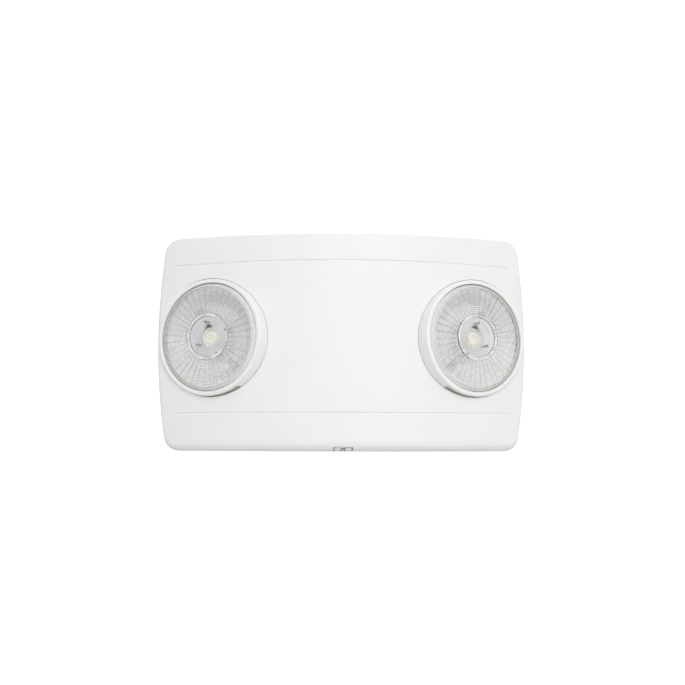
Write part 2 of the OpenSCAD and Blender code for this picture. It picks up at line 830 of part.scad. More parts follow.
module groove(z, sag) {
    half_l = groove_l / 2;
    steps = 36;
    lip = 0.4;
    points = [for (i = [0 : steps])
        let (
            x = -half_l + 2 * half_l * i / steps,
            a = asin(x / front_r),
            mid = z - sag * (x / half_l) ^ 2,
            out = [(front_r + lip) * sin(a), front_r - housing_d - (front_r + lip) * cos(a)],
            deep = (front_r - groove_depth) * [sin(a), -cos(a)] + [0, front_r - housing_d],
            half = groove_w / 2 * (1 + lip / groove_depth)
        )
        each [
            [out[0], out[1], mid + half],
            [deep[0], deep[1], mid],
            [out[0], out[1], mid - half]
        ]];
    polyhedron(
        points = points,
        faces = concat(
            [[2, 1, 0]],
            [[3 * steps, 3 * steps + 1, 3 * steps + 2]],
            [for (i = [0 : steps - 1], k = [0 : 2])
                let (j = (k + 1) % 3, a = 3 * i, b = a + 3)
                each [[a + k, a + j, b + j], [a + k, b + j, b + k]]]
        )
    );
}

module front_cover() {
    color(shell_white) difference() {
        union() {
            difference() {
                housing_body(0, -rear_gap);
                housing_body(wall, overrun);
            }
            intersection() {
                housing_body(wall / 3, -rear_gap);
                cover_inner_forms();
            }
        }
        for (side = both)
            seat(side) {
                sphere(r = ball_r + seat_gap, $fn = round_fn);
                for (a = corner_turns)
                    rotate([0, 0, a]) translate([bracket_pcd_r, 0, -bracket_front - overrun])
                        cylinder(r = screw_r, h = screw_l - bracket_t + overrun, $fn = small_fn);
            }
        for (x = [-post_x, post_x], z = post_z)
            translate([x, -board_d + overrun, z]) rotate([90, 0, 0])
                cylinder(r = screw_r, h = screw_l, $fn = small_fn);
        translate([0, -battery_d, retainer_boss_z]) rotate([90, 0, 0])
            cylinder(r = screw_r, h = screw_l, $fn = small_fn);
        for (x = saddle_x)
            translate([x - saddle_t, -battery_d, battery_z]) rotate([0, 90, 0])
                cylinder(r = cell_d / 2 + sleeve_t + plate_gap, h = 2 * saddle_t, $fn = round_fn);
        translate([-notch_w / 2, -housing_d - overrun, bottom_z - overrun])
            cube([notch_w, lobe_back + 2 * overrun, notch_h + overrun]);
        translate([-notch_w / 2, -housing_d + lobe_front - stem_gap, bottom_z])
            cube([notch_w, lobe_back - lobe_front, notch_h + button_travel + lobe_gap]);
        for (s = both)
            translate([
                s * button_x - stem_w / 2 - stem_gap,
                -housing_d + stem_back - stem_w / 2 - stem_gap,
                guide_z - overrun
            ])
                cube([stem_w + 2 * stem_gap, stem_w + 2 * stem_gap, guide_t + 2 * overrun]);
        groove(upper_groove_z, upper_groove_sag);
        groove(lower_groove_z, 0);
    }
}

// Back plate
plate_inset = wall + plate_gap;
flange_t = 1.6;
flange_h = 8;
wall_hole_r = 2.6;
box_hole_r = 2.3;
entry_r = 11.1;
block_size = [34, 14, 13];
block_z = -30;
pad_t = 2;

module back_plate() {
    color(shell_white) difference() {
        union() {
            rotate([90, 0, 0]) linear_extrude(plate_t) polygon(outline_points(plate_inset));
            rotate([90, 0, 0]) linear_extrude(flange_h) difference() {
                polygon(outline_points(plate_inset));
                polygon(outline_points(plate_inset + flange_t));
            }
            for (s = both, x = [-hook_x, hook_x])
                translate([x - hook_w / 2, 0, mid_z]) scale([1, 1, s]) snap_finger();
            translate([-block_size[0] / 2, -plate_t - pad_t, block_z - block_size[2] / 2])
                cube([block_size[0], pad_t, block_size[2]]);
        }
        for (x = both, z = both)
            translate([x * screw_span_x / 2, overrun, z * screw_span_z / 2]) rotate([90, 0, 0])
                cylinder(r = wall_hole_r, h = plate_t + 2 * overrun, $fn = small_fn);
        for (s = both) {
            translate([0, overrun, s * gang_span / 2]) rotate([90, 0, 0])
                cylinder(r = box_hole_r, h = plate_t + 2 * overrun, $fn = small_fn);
            translate([s * octagon_span / 2, overrun, 0]) rotate([90, 0, 0])
                cylinder(r = box_hole_r, h = plate_t + 2 * overrun, $fn = small_fn);
        }
        translate([0, overrun, 0]) rotate([90, 0, 0])
            cylinder(r = entry_r, h = plate_t + 2 * overrun, $fn = round_fn);
    }
}
// Snap finger of the plate's upper edge, which hooks over a ledge inside the housing
module snap_finger() {
    finger_top = housing_h / 2 - wall - hook_reach - plate_gap;
    translate([hook_w, 0, 0]) rotate([90, 0, -90]) linear_extrude(hook_w) polygon([
        [0, finger_top],
        [0, finger_top - hook_t],
        [hook_l, finger_top - hook_t],
        [hook_l, finger_top - hook_t / 2],
        [ledge_y + hook_t + plate_gap, finger_top + hook_reach],
        [ledge_y + hook_t + plate_gap, finger_top]
    ]);
}

module entry_bushing() {
    flange = 2.5;
    lip = 1.2;
    color("dimgray") rotate([90, 0, 0]) difference() {
        union() {
            cylinder(r = entry_r, h = plate_t, $fn = round_fn);
            translate([0, 0, plate_t]) cylinder(r = entry_r + flange, h = lip, $fn = round_fn);
        }
        translate([0, 0, -overrun])
            cylinder(r = entry_bore_r, h = plate_t + lip + 2 * overrun, $fn = round_fn);
    }
}

block_poles = 3;
block_spacing = 10;
block_screw_r = 2.2;
module terminal_block() {
    color("darkslategray") translate([0, -plate_t - pad_t, block_z]) difference() {
        translate([-block_size[0] / 2, -block_size[1], -block_size[2] / 2])
            cube([block_size[0], block_size[1], block_size[2]]);
        for (i = [0 : block_poles - 1])
            translate([(i - (block_poles - 1) / 2) * block_spacing, 0, 0]) {
                translate([0, -block_size[1] / 2, 0]) rotate([90, 0, 0])
                    cylinder(r = block_screw_r, h = block_size[1], $fn = small_fn);
                translate([0, -block_size[1] / 4, -block_size[2]])
                    cylinder(r = 2 * wire_r, h = 2 * block_size[2], $fn = small_fn);
            }
    }
}

module terminal_screws() {
    color("silver") translate([0, -plate_t - pad_t - block_size[1] / 2, block_z])
        for (i = [0 : block_poles - 1])
            translate([(i - (block_poles - 1) / 2) * block_spacing, 0, 0]) rotate([90, 0, 0])
                cylinder(r = block_screw_r, h = block_size[1] / 4, $fn = small_fn);
}

// Control board and what it carries: its parts face the wall
board_mid_z = board_low + board_h / 2;
board_back = board_d - board_t;
module on_board(x, z) {
    translate([x, -board_back, z]) rotate([-90, 0, 0]) children();
}

module control_board() {
    color("seagreen") difference() {
        translate([-board_w / 2, -board_d, board_low]) cube([board_w, board_t, board_h]);
        for (x = [-post_x, post_x], z = post_z)
            translate([x, -board_d - overrun, z]) rotate([-90, 0, 0])
                cylinder(r = screw_r + stem_gap, h = board_t + 2 * overrun, $fn = small_fn);
    }
}

module board_screws() {
    color("silver")
        for (x = [-post_x, post_x], z = post_z)
            on_board(x, z) screw(screw_l - overrun);
}

core_size = [41, 34, 14];
core_rise = 18;
core_z = board_mid_z + core_rise;
core_limb = 7;
coil_size = [27, 30, 24];
coil_gap = 0.3;
module transformer_core() {
    color("slategray") on_board(0, core_z) difference() {
        translate([-core_size[0] / 2, -core_size[1] / 2, coil_size[2] / 2 - core_size[2] / 2])
            cube(core_size);
        for (s = both)
            translate([
                s > 0 ? core_limb : -core_size[0] / 2 + core_limb,
                -core_size[1] / 2 + core_limb,
                -overrun
            ])
                cube([core_size[0] / 2 - 2 * core_limb, core_size[1] - 2 * core_limb, coil_size[2]]);
    }
}
module transformer_winding() {
    window_w = core_size[0] - 2 * core_limb - 2 * coil_gap;
    window_h = core_size[1] - 2 * core_limb - 2 * coil_gap;
    color("goldenrod") on_board(0, core_z) difference() {
        translate([-window_w / 2, -window_h / 2, 0]) cube([window_w, window_h, coil_size[2]]);
        translate([
            -core_limb - coil_gap,
            -window_h,
            coil_size[2] / 2 - core_size[2] / 2 - coil_gap
        ])
            cube([2 * (core_limb + coil_gap), 2 * window_h, core_size[2] + 2 * coil_gap]);
    }
}

// Places from the board's middle; a capacitor's radius and height follow its place
cap_place = [[-28, -14, 6, 20], [-14, -16, 5, 16]];
crimp_z = 1.5;
crimp_r = 0.5;
module capacitors() {
    color("midnightblue")
        for (c = cap_place)
            on_board(c[0], board_mid_z + c[1]) difference() {
                cylinder(r = c[2], h = c[3], $fn = small_fn);
                translate([0, 0, crimp_z]) rotate_extrude($fn = small_fn)
                    translate([c[2], 0]) circle(r = crimp_r, $fn = small_fn);
            }
}

relay_size = [16, 20, 15];
relay_place = [10, -16];
module relay() {
    color("royalblue") on_board(relay_place[0], board_mid_z + relay_place[1])
        translate([-relay_size[0] / 2, -relay_size[1] / 2, 0]) cube(relay_size);
}

header_size = [8, 6, 6];
header_insets = [6, 9];
header_rises = [4, 32];
header_place = [
    for (k = [[left, 0], [right, 0], [right, 1], [left, 1]])
        [k[0] * (board_w / 2 - header_insets[k[1]]), header_rises[k[1]]]
];
header_wall = 1;
module lead_headers() {
    color("ivory")
        for (p = header_place)
            on_board(p[0], board_mid_z + p[1]) difference() {
                translate([-header_size[0] / 2, -header_size[1] / 2, 0]) cube(header_size);
                translate([
                    -header_size[0] / 2 + header_wall,
                    -header_size[1] / 2 + header_wall,
                    header_wall
                ])
                    cube([
                        header_size[0] - 2 * header_wall,
                        header_size[1] - 2 * header_wall,
                        header_size[2]
                    ]);
            }
}

// Test button and indicator: each has a lobe in the notch and a stem up towards the board
plunger_l = 1.6;
stem_top = board_low - plunger_l - button_travel - stem_gap;
lobe_low = bottom_z + lobe_gap;
shoulder_w = 4.8;
shoulder_h = 1;
module lobe_and_stem(top) {
    end_r = lobe_h / 2;
    intersection() {
        translate([0, -housing_d + lobe_back, lobe_low + end_r]) rotate([90, 0, 0])
            linear_extrude(lobe_back - lobe_front) union() {
                square([lobe_w - lobe_h, lobe_h], center = true);
                for (s = both)
                    translate([s * (lobe_w - lobe_h) / 2, 0]) circle(r = end_r, $fn = small_fn);
            }
        union() {
            translate([-lobe_w, bottom_round - housing_d, bottom_z + bottom_round])
                rotate([0, 90, 0])
                    cylinder(r = bottom_round - lobe_gap, h = 2 * lobe_w, $fn = round_fn);
            translate([-lobe_w, bottom_round - housing_d, bottom_z])
                cube([2 * lobe_w, lobe_back, bottom_round]);
        }
    }
    translate([-stem_w / 2, -housing_d + stem_back - stem_w / 2, lobe_low + end_r])
        cube([stem_w, stem_w, top - lobe_low - end_r]);
    translate([
        -shoulder_w / 2,
        -housing_d + stem_back - shoulder_w / 2,
        guide_z + guide_t
    ])
        cube([shoulder_w, shoulder_w, shoulder_h]);
}

module test_button() {
    color(clear) translate([button_x, 0, 0]) lobe_and_stem(stem_top);
}
module indicator_lens() {
    color(clear) translate([-button_x, 0, 0]) lobe_and_stem(board_low - stem_gap);
}

switch_w = 6;
switch_reach = 12;
plunger_r = 1.5;
module test_switch() {
    color("black") union() {
        translate([button_x - switch_w / 2, -board_d - switch_reach, board_low])
            cube([switch_w, switch_reach, switch_w]);
        translate([button_x, -housing_d + stem_back, board_low - plunger_l])
            cylinder(r = plunger_r, h = plunger_l, $fn = small_fn);
    }
}
module indicator_led() {
    color("limegreen") union() {
        translate([-button_x - stem_w / 2, -housing_d + stem_back, board_low + stem_w])
            cube([stem_w, housing_d - stem_back - board_d, stem_w]);
        translate([-button_x, -housing_d + stem_back, board_low])
            cylinder(r = stem_w / 2, h = 2 * stem_w, $fn = small_fn);
    }
}

// Compression spring of the button: one unbroken wire, its ends wound flat
spring_r = 2.65;
spring_wire_r = 0.25;
spring_turns = 4;
spring_steps = 14;
spring_low = lobe_low + lobe_h + spring_wire_r + lobe_gap / 2;
spring_high = guide_z - spring_wire_r;
spring_rise = spring_high - spring_low;
// Height share of the wire against turns from its lower end
function spring_share(t) =
    let (edge = 0.7, flat = 0.14)
    t < edge ? flat * t / edge
    : t > spring_turns - edge ? 1 - flat * (spring_turns - t) / edge
    : flat + (1 - 2 * flat) * (t - edge) / (spring_turns - 2 * edge);
spring_route = [
    for (i = [0 : spring_turns * spring_steps])
        let (t = i / spring_steps)
        [
            button_x + spring_r * cos(360 * t),
            -housing_d + stem_back + spring_r * sin(360 * t),
            spring_low + spring_rise * spring_share(t)
        ]
];
spring_least = min([
    for (i = [0 : (spring_turns - 1) * spring_steps])
        spring_route[i + spring_steps][2] - spring_route[i][2]
]) - 2 * spring_wire_r;
echo(least_gap_between_spring_turns = spring_least);
module button_spring() {
    color("silver") lead(spring_route, spring_wire_r, 6);
}

// Battery: three cells in line in a shrunk sleeve, strapped down on saddles
nub_r = 3.5;
nub_h = 0.8;
cell_gap = 0.2;
module along_battery() {
    translate([-battery_span / 2, -battery_d, battery_z]) rotate([0, 90, 0]) children();
}
module battery_cells() {
    color("lightsteelblue") along_battery()
        for (i = [0 : cell_count - 1])
            translate([0, 0, i * cell_l]) {
                cylinder(r = cell_d / 2, h = cell_l - cell_gap - nub_h, $fn = round_fn);
                translate([0, 0, cell_l - cell_gap - nub_h])
                    cylinder(r = nub_r, h = nub_h, $fn = small_fn);
            }
}
module battery_sleeve() {
    color("mediumblue") along_battery() difference() {
        cylinder(r = cell_d / 2 + sleeve_t, h = battery_span - nub_h, $fn = round_fn);
        translate([0, 0, -overrun])
            cylinder(r = cell_d / 2, h = battery_span + 2 * overrun, $fn = round_fn);
    }
}
module battery_retainer() {
    strap_in = cell_d / 2 + sleeve_t + plate_gap / 3;
    foot_z = retainer_boss_z - post_r;
    color("gainsboro") difference() {
        union() {
            translate([-retainer_w / 2, -battery_d, battery_z]) rotate([0, 90, 0])
                rotate_extrude(angle = 180, $fn = round_fn)
                    translate([strap_in, 0]) square([retainer_t, retainer_w]);
            translate([-retainer_w / 2, -battery_d - retainer_t, foot_z])
                cube([retainer_w, retainer_t, battery_z - strap_in - foot_z]);
        }
        translate([0, -battery_d + overrun, retainer_boss_z]) rotate([90, 0, 0])
            cylinder(r = screw_r, h = retainer_t + 2 * overrun, $fn = small_fn);
    }
}
module retainer_screws() {
    color("silver") translate([0, -battery_d, retainer_boss_z]) rotate([-90, 0, 0])
        screw(screw_l - overrun);
}

// Leads inside the housing: their routes are chosen by hand, and their ends follow what
// they join
lead_hold = 4.5;
battery_lead_drop = 1;
function at_block(pole) = [
    (pole - (block_poles - 1) / 2) * block_spacing,
    -plate_t - pad_t - block_size[1] / 4,
    block_z + block_size[2] / 2 - lead_hold
];
function at_battery(x) = [x, -battery_d, battery_z - battery_lead_drop];
function at_header(place, shift) = [
    place[0] + shift,
    -board_back + header_wall,
    board_mid_z + place[1]
];
header_shifts = [-2, 1];
battery_shifts = [1, -1.3];
mains_routes = [
    [
        [-10, -8.5, -28], [-10, -8.5, -20], [-17, -9, -12], [-27, -12, 0],
        [-33, -22, 11], [-33, -31, 14], [-33, -37.8, 14]
    ],
    [
        [0, -8.5, -28], [0, -8.5, -20], [-8, -9, -10], [-22, -10, 4],
        [-29, -20, 12], [-30, -31, 14], [-30, -37.8, 14]
    ]
];
battery_routes = [
    [
        [63, -34, 56], [67, -32, 53], [65, -28, 47], [54, -24, 43],
        [42, -24, 31], [33.5, -25, 18], [32, -31, 14], [32, -37.8, 14]
    ],
    [
        [-63.2, -34, 56], [-67, -32, 53], [-64, -28, 46], [-50, -26, 42.5], [-24, -26, 41.5],
        [0, -26, 41], [20, -24, 35], [28, -24, 21], [29.7, -31, 14], [29.7, -37.8, 14]
    ]
];
lamp_route = [
    from_seat([0, 0, -20]), from_seat([0, 0, -26]), from_seat([0, 0, -31]),
    from_seat([-5.8, -6, -36.5]), [58, -12, -15], [44, -20, -17], [36, -25, -15], [34, -31, -14], [34, -37.8, -14]
];
lamp_held = 3;
lamp_lead_r = 1.5;
module mains_leads() {
    color("black")
        for (i = [0, 1]) {
            end = at_header(header_place[3], header_shifts[i]);
            lead(smooth(tied(mains_routes[i], at_block(i), end)), wire_r);
        }
}
module battery_leads() {
    starts = [battery_span / 2, -battery_span / 2 - cell_gap];
    color("red")
        for (i = [0, 1]) {
            end = at_header(header_place[2], battery_shifts[i]);
            lead(smooth(tied(battery_routes[i], at_battery(starts[i]), end)), wire_r);
        }
}
module lamp_lead(side) {
    route = tied(lamp_route, lamp_route[0], at_header(header_place[1], 0), lamp_held);
    color("whitesmoke") lead(mirrored(smooth(route), side), lamp_lead_r);
}

module bracket_screws() {
    color("silver")
        for (side = both) seat(side)
            for (a = corner_turns)
                rotate([0, 0, a]) translate([bracket_pcd_r, 0, -bracket_back])
                    rotate([180, 0, 0]) screw(screw_l - overrun);
}

back_plate();
front_cover();
entry_bushing();
terminal_block();
terminal_screws();
control_board();
board_screws();
transformer_core();
transformer_winding();
capacitors();
relay();
lead_headers();
test_switch();
indicator_led();
indicator_lens();
test_button();
button_spring();
battery_cells();
battery_sleeve();
battery_retainer();
retainer_screws();
mains_leads();
battery_leads();
bracket_screws();
lamp_lead(left);  // left_lamp_lead
lamp_lead(right);  // right_lamp_lead
lamp_bracket(left);  // left_lamp_bracket
lamp_bracket(right);  // right_lamp_bracket
turntable(left);  // left_turntable
turntable(right);  // right_turntable
pan_washer(left);  // left_pan_washer
pan_washer(right);  // right_pan_washer
hub_clip(left);  // left_hub_clip
hub_clip(right);  // right_hub_clip
head_shell(left);  // left_head_shell
head_shell(right);  // right_head_shell
lens(left);  // left_lens
lens(right);  // right_lens
collimator(left);  // left_collimator
collimator(right);  // right_collimator
lamp_tray(left);  // left_lamp_tray
lamp_tray(right);  // right_lamp_tray
led_board(left);  // left_led_board
led_board(right);  // right_led_board
led(left);  // left_led
led(right);  // right_led
heat_sink(left);  // left_heat_sink
heat_sink(right);  // right_heat_sink
lamp_screws(left);  // left_lamp_screws
lamp_screws(right);  // right_lamp_screws
tilt_pins(left);  // left_tilt_pins
tilt_pins(right);  // right_tilt_pins
head_lead(left);  // left_head_lead
head_lead(right);  // right_head_lead
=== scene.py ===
import math

import bpy
from mathutils import Matrix, Vector


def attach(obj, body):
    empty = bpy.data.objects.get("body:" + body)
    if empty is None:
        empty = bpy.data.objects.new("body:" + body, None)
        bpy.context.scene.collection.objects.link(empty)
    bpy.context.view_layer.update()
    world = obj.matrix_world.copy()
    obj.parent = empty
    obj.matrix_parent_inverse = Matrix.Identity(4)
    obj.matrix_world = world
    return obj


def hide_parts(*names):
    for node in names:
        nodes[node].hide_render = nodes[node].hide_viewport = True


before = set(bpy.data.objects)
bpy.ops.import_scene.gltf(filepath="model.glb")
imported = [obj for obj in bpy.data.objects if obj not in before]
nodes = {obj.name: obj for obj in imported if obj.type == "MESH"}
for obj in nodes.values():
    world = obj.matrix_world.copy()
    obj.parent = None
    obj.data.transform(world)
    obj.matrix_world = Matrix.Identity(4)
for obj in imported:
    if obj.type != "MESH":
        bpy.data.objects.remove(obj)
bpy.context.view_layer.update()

mm = 0.001

# Frames of the lamp heads, as the source places them
seats = {"pivotX": 91.9, "pivotD": 42.3, "seatAngle": 20.0, "panRest": 21.0, "tiltRest": 8.0}


def headPlace(side):
    turns = ((seats["seatAngle"], "Z"), (90, "X"), (seats["panRest"], "Z"), (seats["tiltRest"], "Y"))
    place = Matrix.Translation((seats["pivotX"] * mm, -seats["pivotD"] * mm, 0))
    for angle, axis in turns:
        place = place @ Matrix.Rotation(math.radians(angle), 4, axis)
    mirror = Matrix.Diagonal((side, 1, 1, 1))
    return mirror @ place @ mirror


class Wire:  # an output socket that adds and multiplies like a number
    def __init__(self, finish, socket):
        self.finish, self.socket = finish, socket

    def maths(self, operation, *values, **settings):
        settings["operation"] = operation
        return self.finish.node("ShaderNodeMath", settings, dict(enumerate(values)))

    def __add__(self, other):
        return self.maths("ADD", self, other)

    def __sub__(self, other):
        return self.maths("SUBTRACT", self, other)

    def __rsub__(self, other):
        return self.maths("SUBTRACT", other, self)

    def __mul__(self, other):
        return self.maths("MULTIPLY", self, other)

    __radd__ = __add__
    __rmul__ = __mul__

    def root(self):
        return self.maths("POWER", self, 0.5)

    def fraction(self):
        return self.maths("FRACT", self)

    def floored(self):
        return self.maths("FLOOR", self)

    def size(self):  # without its sign
        return self.maths("ABSOLUTE", self)

    def toWhole(self):  # how far it is to the nearest whole number
        return 0.5 - (self.fraction() - 0.5).size()

    def clamped(self):
        return self.maths("ADD", self, 0.0, use_clamp=True)

    def between(self, low, high):  # 0 below low, 1 above high
        return self.finish.node("ShaderNodeMapRange", {"interpolation_type": "SMOOTHSTEP"}, {
            "Value": self, "From Min": low, "From Max": high})

    def below(self, low, high):    # 1 below low, 0 above high
        return 1 - self.between(low, high)


class Finish:  # one material, or the world, built node by node
    def __init__(self, name, kind="materials"):
        self.owner = getattr(bpy.data, kind).new(name)
        self.owner.use_nodes = True
        self.tree = self.owner.node_tree
        self.tree.nodes.clear()
        self.place = None

    def node(self, kind, settings, sockets, output=0):
        made = self.tree.nodes.new(kind)
        for name, value in settings.items():
            setattr(made, name, value)
        for name, value in sockets.items():
            socket = made.inputs[name]
            if isinstance(value, Wire):
                self.tree.links.new(value.socket, socket)
            else:
                socket.default_value = (*value, 1) if socket.type == "RGBA" else value
        return Wire(self, made.outputs[output])

    def spot(self):  # where on the piece, in metres
        if self.place is None:
            self.place = self.node("ShaderNodeTexCoord", {}, {}, "Object")
        return self.place

    def parted(self, vector=None):
        vector = vector or self.spot()
        return [self.node("ShaderNodeSeparateXYZ", {}, {0: vector}, axis) for axis in "XYZ"]

    def joined(self, x, y, z):
        return self.node("ShaderNodeCombineXYZ", {}, {"X": x, "Y": y, "Z": z})

    def vectors(self, operation, first, second, output="Vector"):
        return self.node("ShaderNodeVectorMath", {"operation": operation}, {0: first, 1: second}, output)

    def inHead(self):  # the same place in its lamp head's frame, in millimetres; the left head's is mirrored
        x, y, z = self.parted()
        place = headPlace(1)
        centre = place.translation
        seen = self.joined(x.size() - centre.x, y - centre.y, z - centre.z)
        axes = [tuple(place.col[i].to_3d()) for i in range(3)]
        return [self.vectors("DOT_PRODUCT", seen, axis, "Value") * (1 / mm) for axis in axes]

    def cloud(self, scale, detail, rough=0.5, stretch=None):
        where = self.vectors("MULTIPLY", self.spot(), stretch) if stretch else self.spot()
        return self.node("ShaderNodeTexNoise", {}, {
            "Vector": where, "Scale": scale, "Detail": detail, "Roughness": rough})

    def cells(self, scale):
        return self.node("ShaderNodeTexVoronoi", {}, {"Vector": self.spot(), "Scale": scale})

    def mixed(self, share, first, second):
        return self.node("ShaderNodeMix", {"data_type": "RGBA"}, {0: share, 6: first, 7: second}, 2)

    def bump(self, height, depth):  # depth in millimetres
        return self.node("ShaderNodeBump", {}, {"Height": height, "Distance": depth * mm})

    def rays(self, kind):
        return self.node("ShaderNodeLightPath", {}, {}, "Is %s Ray" % kind)

    def shader(self, **sockets):
        return self.node("ShaderNodeBsdfPrincipled", {}, {k.replace("_", " "): v for k, v in sockets.items()})

    def seeThrough(self, colour):
        return self.node("ShaderNodeBsdfTransparent", {}, {"Color": colour})

    def layered(self, share, under, over):
        return self.node("ShaderNodeMixShader", {}, {0: share, 1: under, 2: over})

    def shadowless(self, shader, tint=(0.93, 0.94, 0.95)):  # lets the lamps' light into what is behind
        return self.layered(self.rays("Shadow"), shader, self.seeThrough(tint))

    def surface(self, shader, output="ShaderNodeOutputMaterial"):
        out = self.tree.nodes.new(output)
        self.tree.links.new(shader.socket, out.inputs["Surface"])
        return self.owner

    def done(self, **sockets):
        return self.surface(self.shader(**sockets))


def tinted(colour, by):
    return tuple(min(1.0, c * by) for c in colour)


def added(name, data):
    thing = bpy.data.objects.new(name, data)
    bpy.context.scene.collection.objects.link(thing)
    return thing


def direction(azimuth, elevation):  # from the object towards its viewer or a lamp, in degrees
    a, e = math.radians(azimuth), math.radians(elevation)
    return Vector((math.sin(a) * math.cos(e), -math.cos(a) * math.cos(e), math.sin(e)))


# Camera at the photograph's angle; target and distance in millimetres
view = {"target": (1.18, -5.3, -0.34), "distance": 1112.5, "azimuth": -1.7, "elevation": -3.85, "roll": 0.12,
        "lens": 78.6, "sensor": 36, "clip": (0.01, 20)}


def makeCamera():
    back = direction(view["azimuth"], view["elevation"])
    data = bpy.data.cameras.new("camera")
    data.lens, data.sensor_width = view["lens"], view["sensor"]
    data.clip_start, data.clip_end = view["clip"]
    camera = added("camera", data)
    turn = (-back).to_track_quat("-Z", "Y").to_matrix().to_4x4()
    turn = turn @ Matrix.Rotation(math.radians(view["roll"]), 4, "Z")
    centre = Vector(view["target"]) * mm + back * view["distance"] * mm
    camera.matrix_world = Matrix.Translation(centre) @ turn
    bpy.context.scene.camera = camera


# Lamps: a large soft key from the right and above, over an even pale surround, a little stronger overhead
studio = {"above": 0.77, "below": 0.6, "sideways": 0.055, "white": (1.0, 1.0, 1.0),
          "keyFrom": (10, 20), "keyDistance": 1.9, "keySize": 1.1, "keyPower": 10.5}


def makeLights():
    bpy.context.scene.view_settings.view_transform = "Standard"
    air = Finish("surround", "worlds")
    bpy.context.scene.world = air.owner
    seen = (air.rays("Camera") + air.rays("Glossy") + air.rays("Transmission")).clamped()
    across, _, height = air.parted(air.node("ShaderNodeTexCoord", {}, {}, "Generated"))
    upwards = height * 0.5 + 0.5
    soft = upwards * (studio["above"] - studio["below"]) + studio["below"] + across * studio["sideways"]
    strength = seen + (1 - seen) * soft
    shine = air.node("ShaderNodeBackground", {}, {"Color": studio["white"], "Strength": strength})
    air.surface(shine, "ShaderNodeOutputWorld")
    towards = direction(*studio["keyFrom"])
    data = bpy.data.lights.new("key", "AREA")
    data.energy, data.size = studio["keyPower"], studio["keySize"]
    lamp = added("key", data)
    lamp.location = towards * studio["keyDistance"]
    lamp.rotation_mode = "QUATERNION"
    lamp.rotation_quaternion = towards.to_track_quat("Z", "Y")


# Stage: a pale floor that bends up into the backdrop, in metres; the camera sees it glow to white
stage = {"floorZ": -0.42, "backY": 0.9, "size": 12.0, "bend": 0.3, "bendSteps": 10,
         "speck": (30, 4), "speckShows": (0.3, 0.7),
         "tones": ((0.72, 0.72, 0.72), (0.75, 0.75, 0.75)), "glow": (0.6, 0.6, 0.6), "roughness": 0.7,
         "grainDepth": 0.2}


def makeStage():
    pale = Finish("paleSweep")
    speck = pale.cloud(*stage["speck"])
    tone = pale.mixed(speck.between(*stage["speckShows"]), *stage["tones"])
    glow = pale.mixed(pale.rays("Camera"), (0, 0, 0), stage["glow"])
    pale.done(Base_Color=tone, Roughness=stage["roughness"], Emission_Color=glow, Emission_Strength=1.0,
              Normal=pale.bump(speck, stage["grainDepth"]))
    half, z, y = stage["size"] / 2, stage["floorZ"], stage["backY"]
    bend, steps = stage["bend"], stage["bendSteps"]
    quarter = [t * math.pi / 2 / steps for t in range(steps + 1)]
    profile = [(-half, z)]
    profile += [(y - bend + bend * math.sin(t), z + bend - bend * math.cos(t)) for t in quarter]
    profile += [(y, z + half)]
    points = [(x, py, pz) for py, pz in profile for x in (-half, half)]
    faces = [(2 * i, 2 * i + 1, 2 * i + 3, 2 * i + 2) for i in range(len(profile) - 1)]
    mesh = bpy.data.meshes.new("sweep")
    mesh.from_pydata(points, [], faces)
    mesh.shade_smooth()
    mesh.materials.append(pale.owner)
    added("sweep", mesh)


# In the dictionaries of the finishes, a cloud is given as scale, detail, roughness and stretch. The pair
# after it says where it starts to show and where it is full. Depths and places are in millimetres.

# Painted light, not a lamp: a faint glow put between head and seat, on the far side of the seat's wall and on
# the floor of the thumb relief, where bounced light would lighten the gap. Both lie within a distance of the
# head's centre; the floor also outside a radius and below a height.
seatGapGlow = {"within": 43.1, "fadeIn": 30, "soft": 0.1, "colour": (0.26, 0.25, 0.235)}
reliefFloorGlow = {"within": 42.4, "outside": 40.0, "below": 6.5, "soft": 0.1, "colour": (0.05, 0.037, 0.03)}


def paintedGlowMask(p, paintedGlow):
    u, v, w = p.inHead()
    across = u * u + v * v
    lit = (across + w * w).root().below(paintedGlow["within"] - paintedGlow["soft"], paintedGlow["within"])
    if "outside" in paintedGlow:
        lit = lit * across.root().between(paintedGlow["outside"], paintedGlow["outside"] + paintedGlow["soft"])
        return lit * w.below(paintedGlow["below"] - paintedGlow["soft"], paintedGlow["below"])
    pivot = seats["pivotX"]
    return lit * p.parted()[0].size().between(pivot * mm, (pivot + paintedGlow["fadeIn"]) * mm)


# Moulded plastics: a grain with pits, patches of tone, and a sheen where hands have rubbed
moulded = {"patch": (22, 3), "patchShows": (0.35, 0.65), "patchShare": 0.8, "patchTone": 0.985,
           "grain": (3, 0.6), "grainShows": (0.25, 0.75), "grainShare": 0.25, "grainTone": 0.97,
           "pitScale": 0.6, "pitShare": 0.3, "sheen": (140, 3), "grainSheen": 0.06,
           "handled": (70, 5, 0.7), "handledShows": (0.55, 0.75), "ior": 1.5}


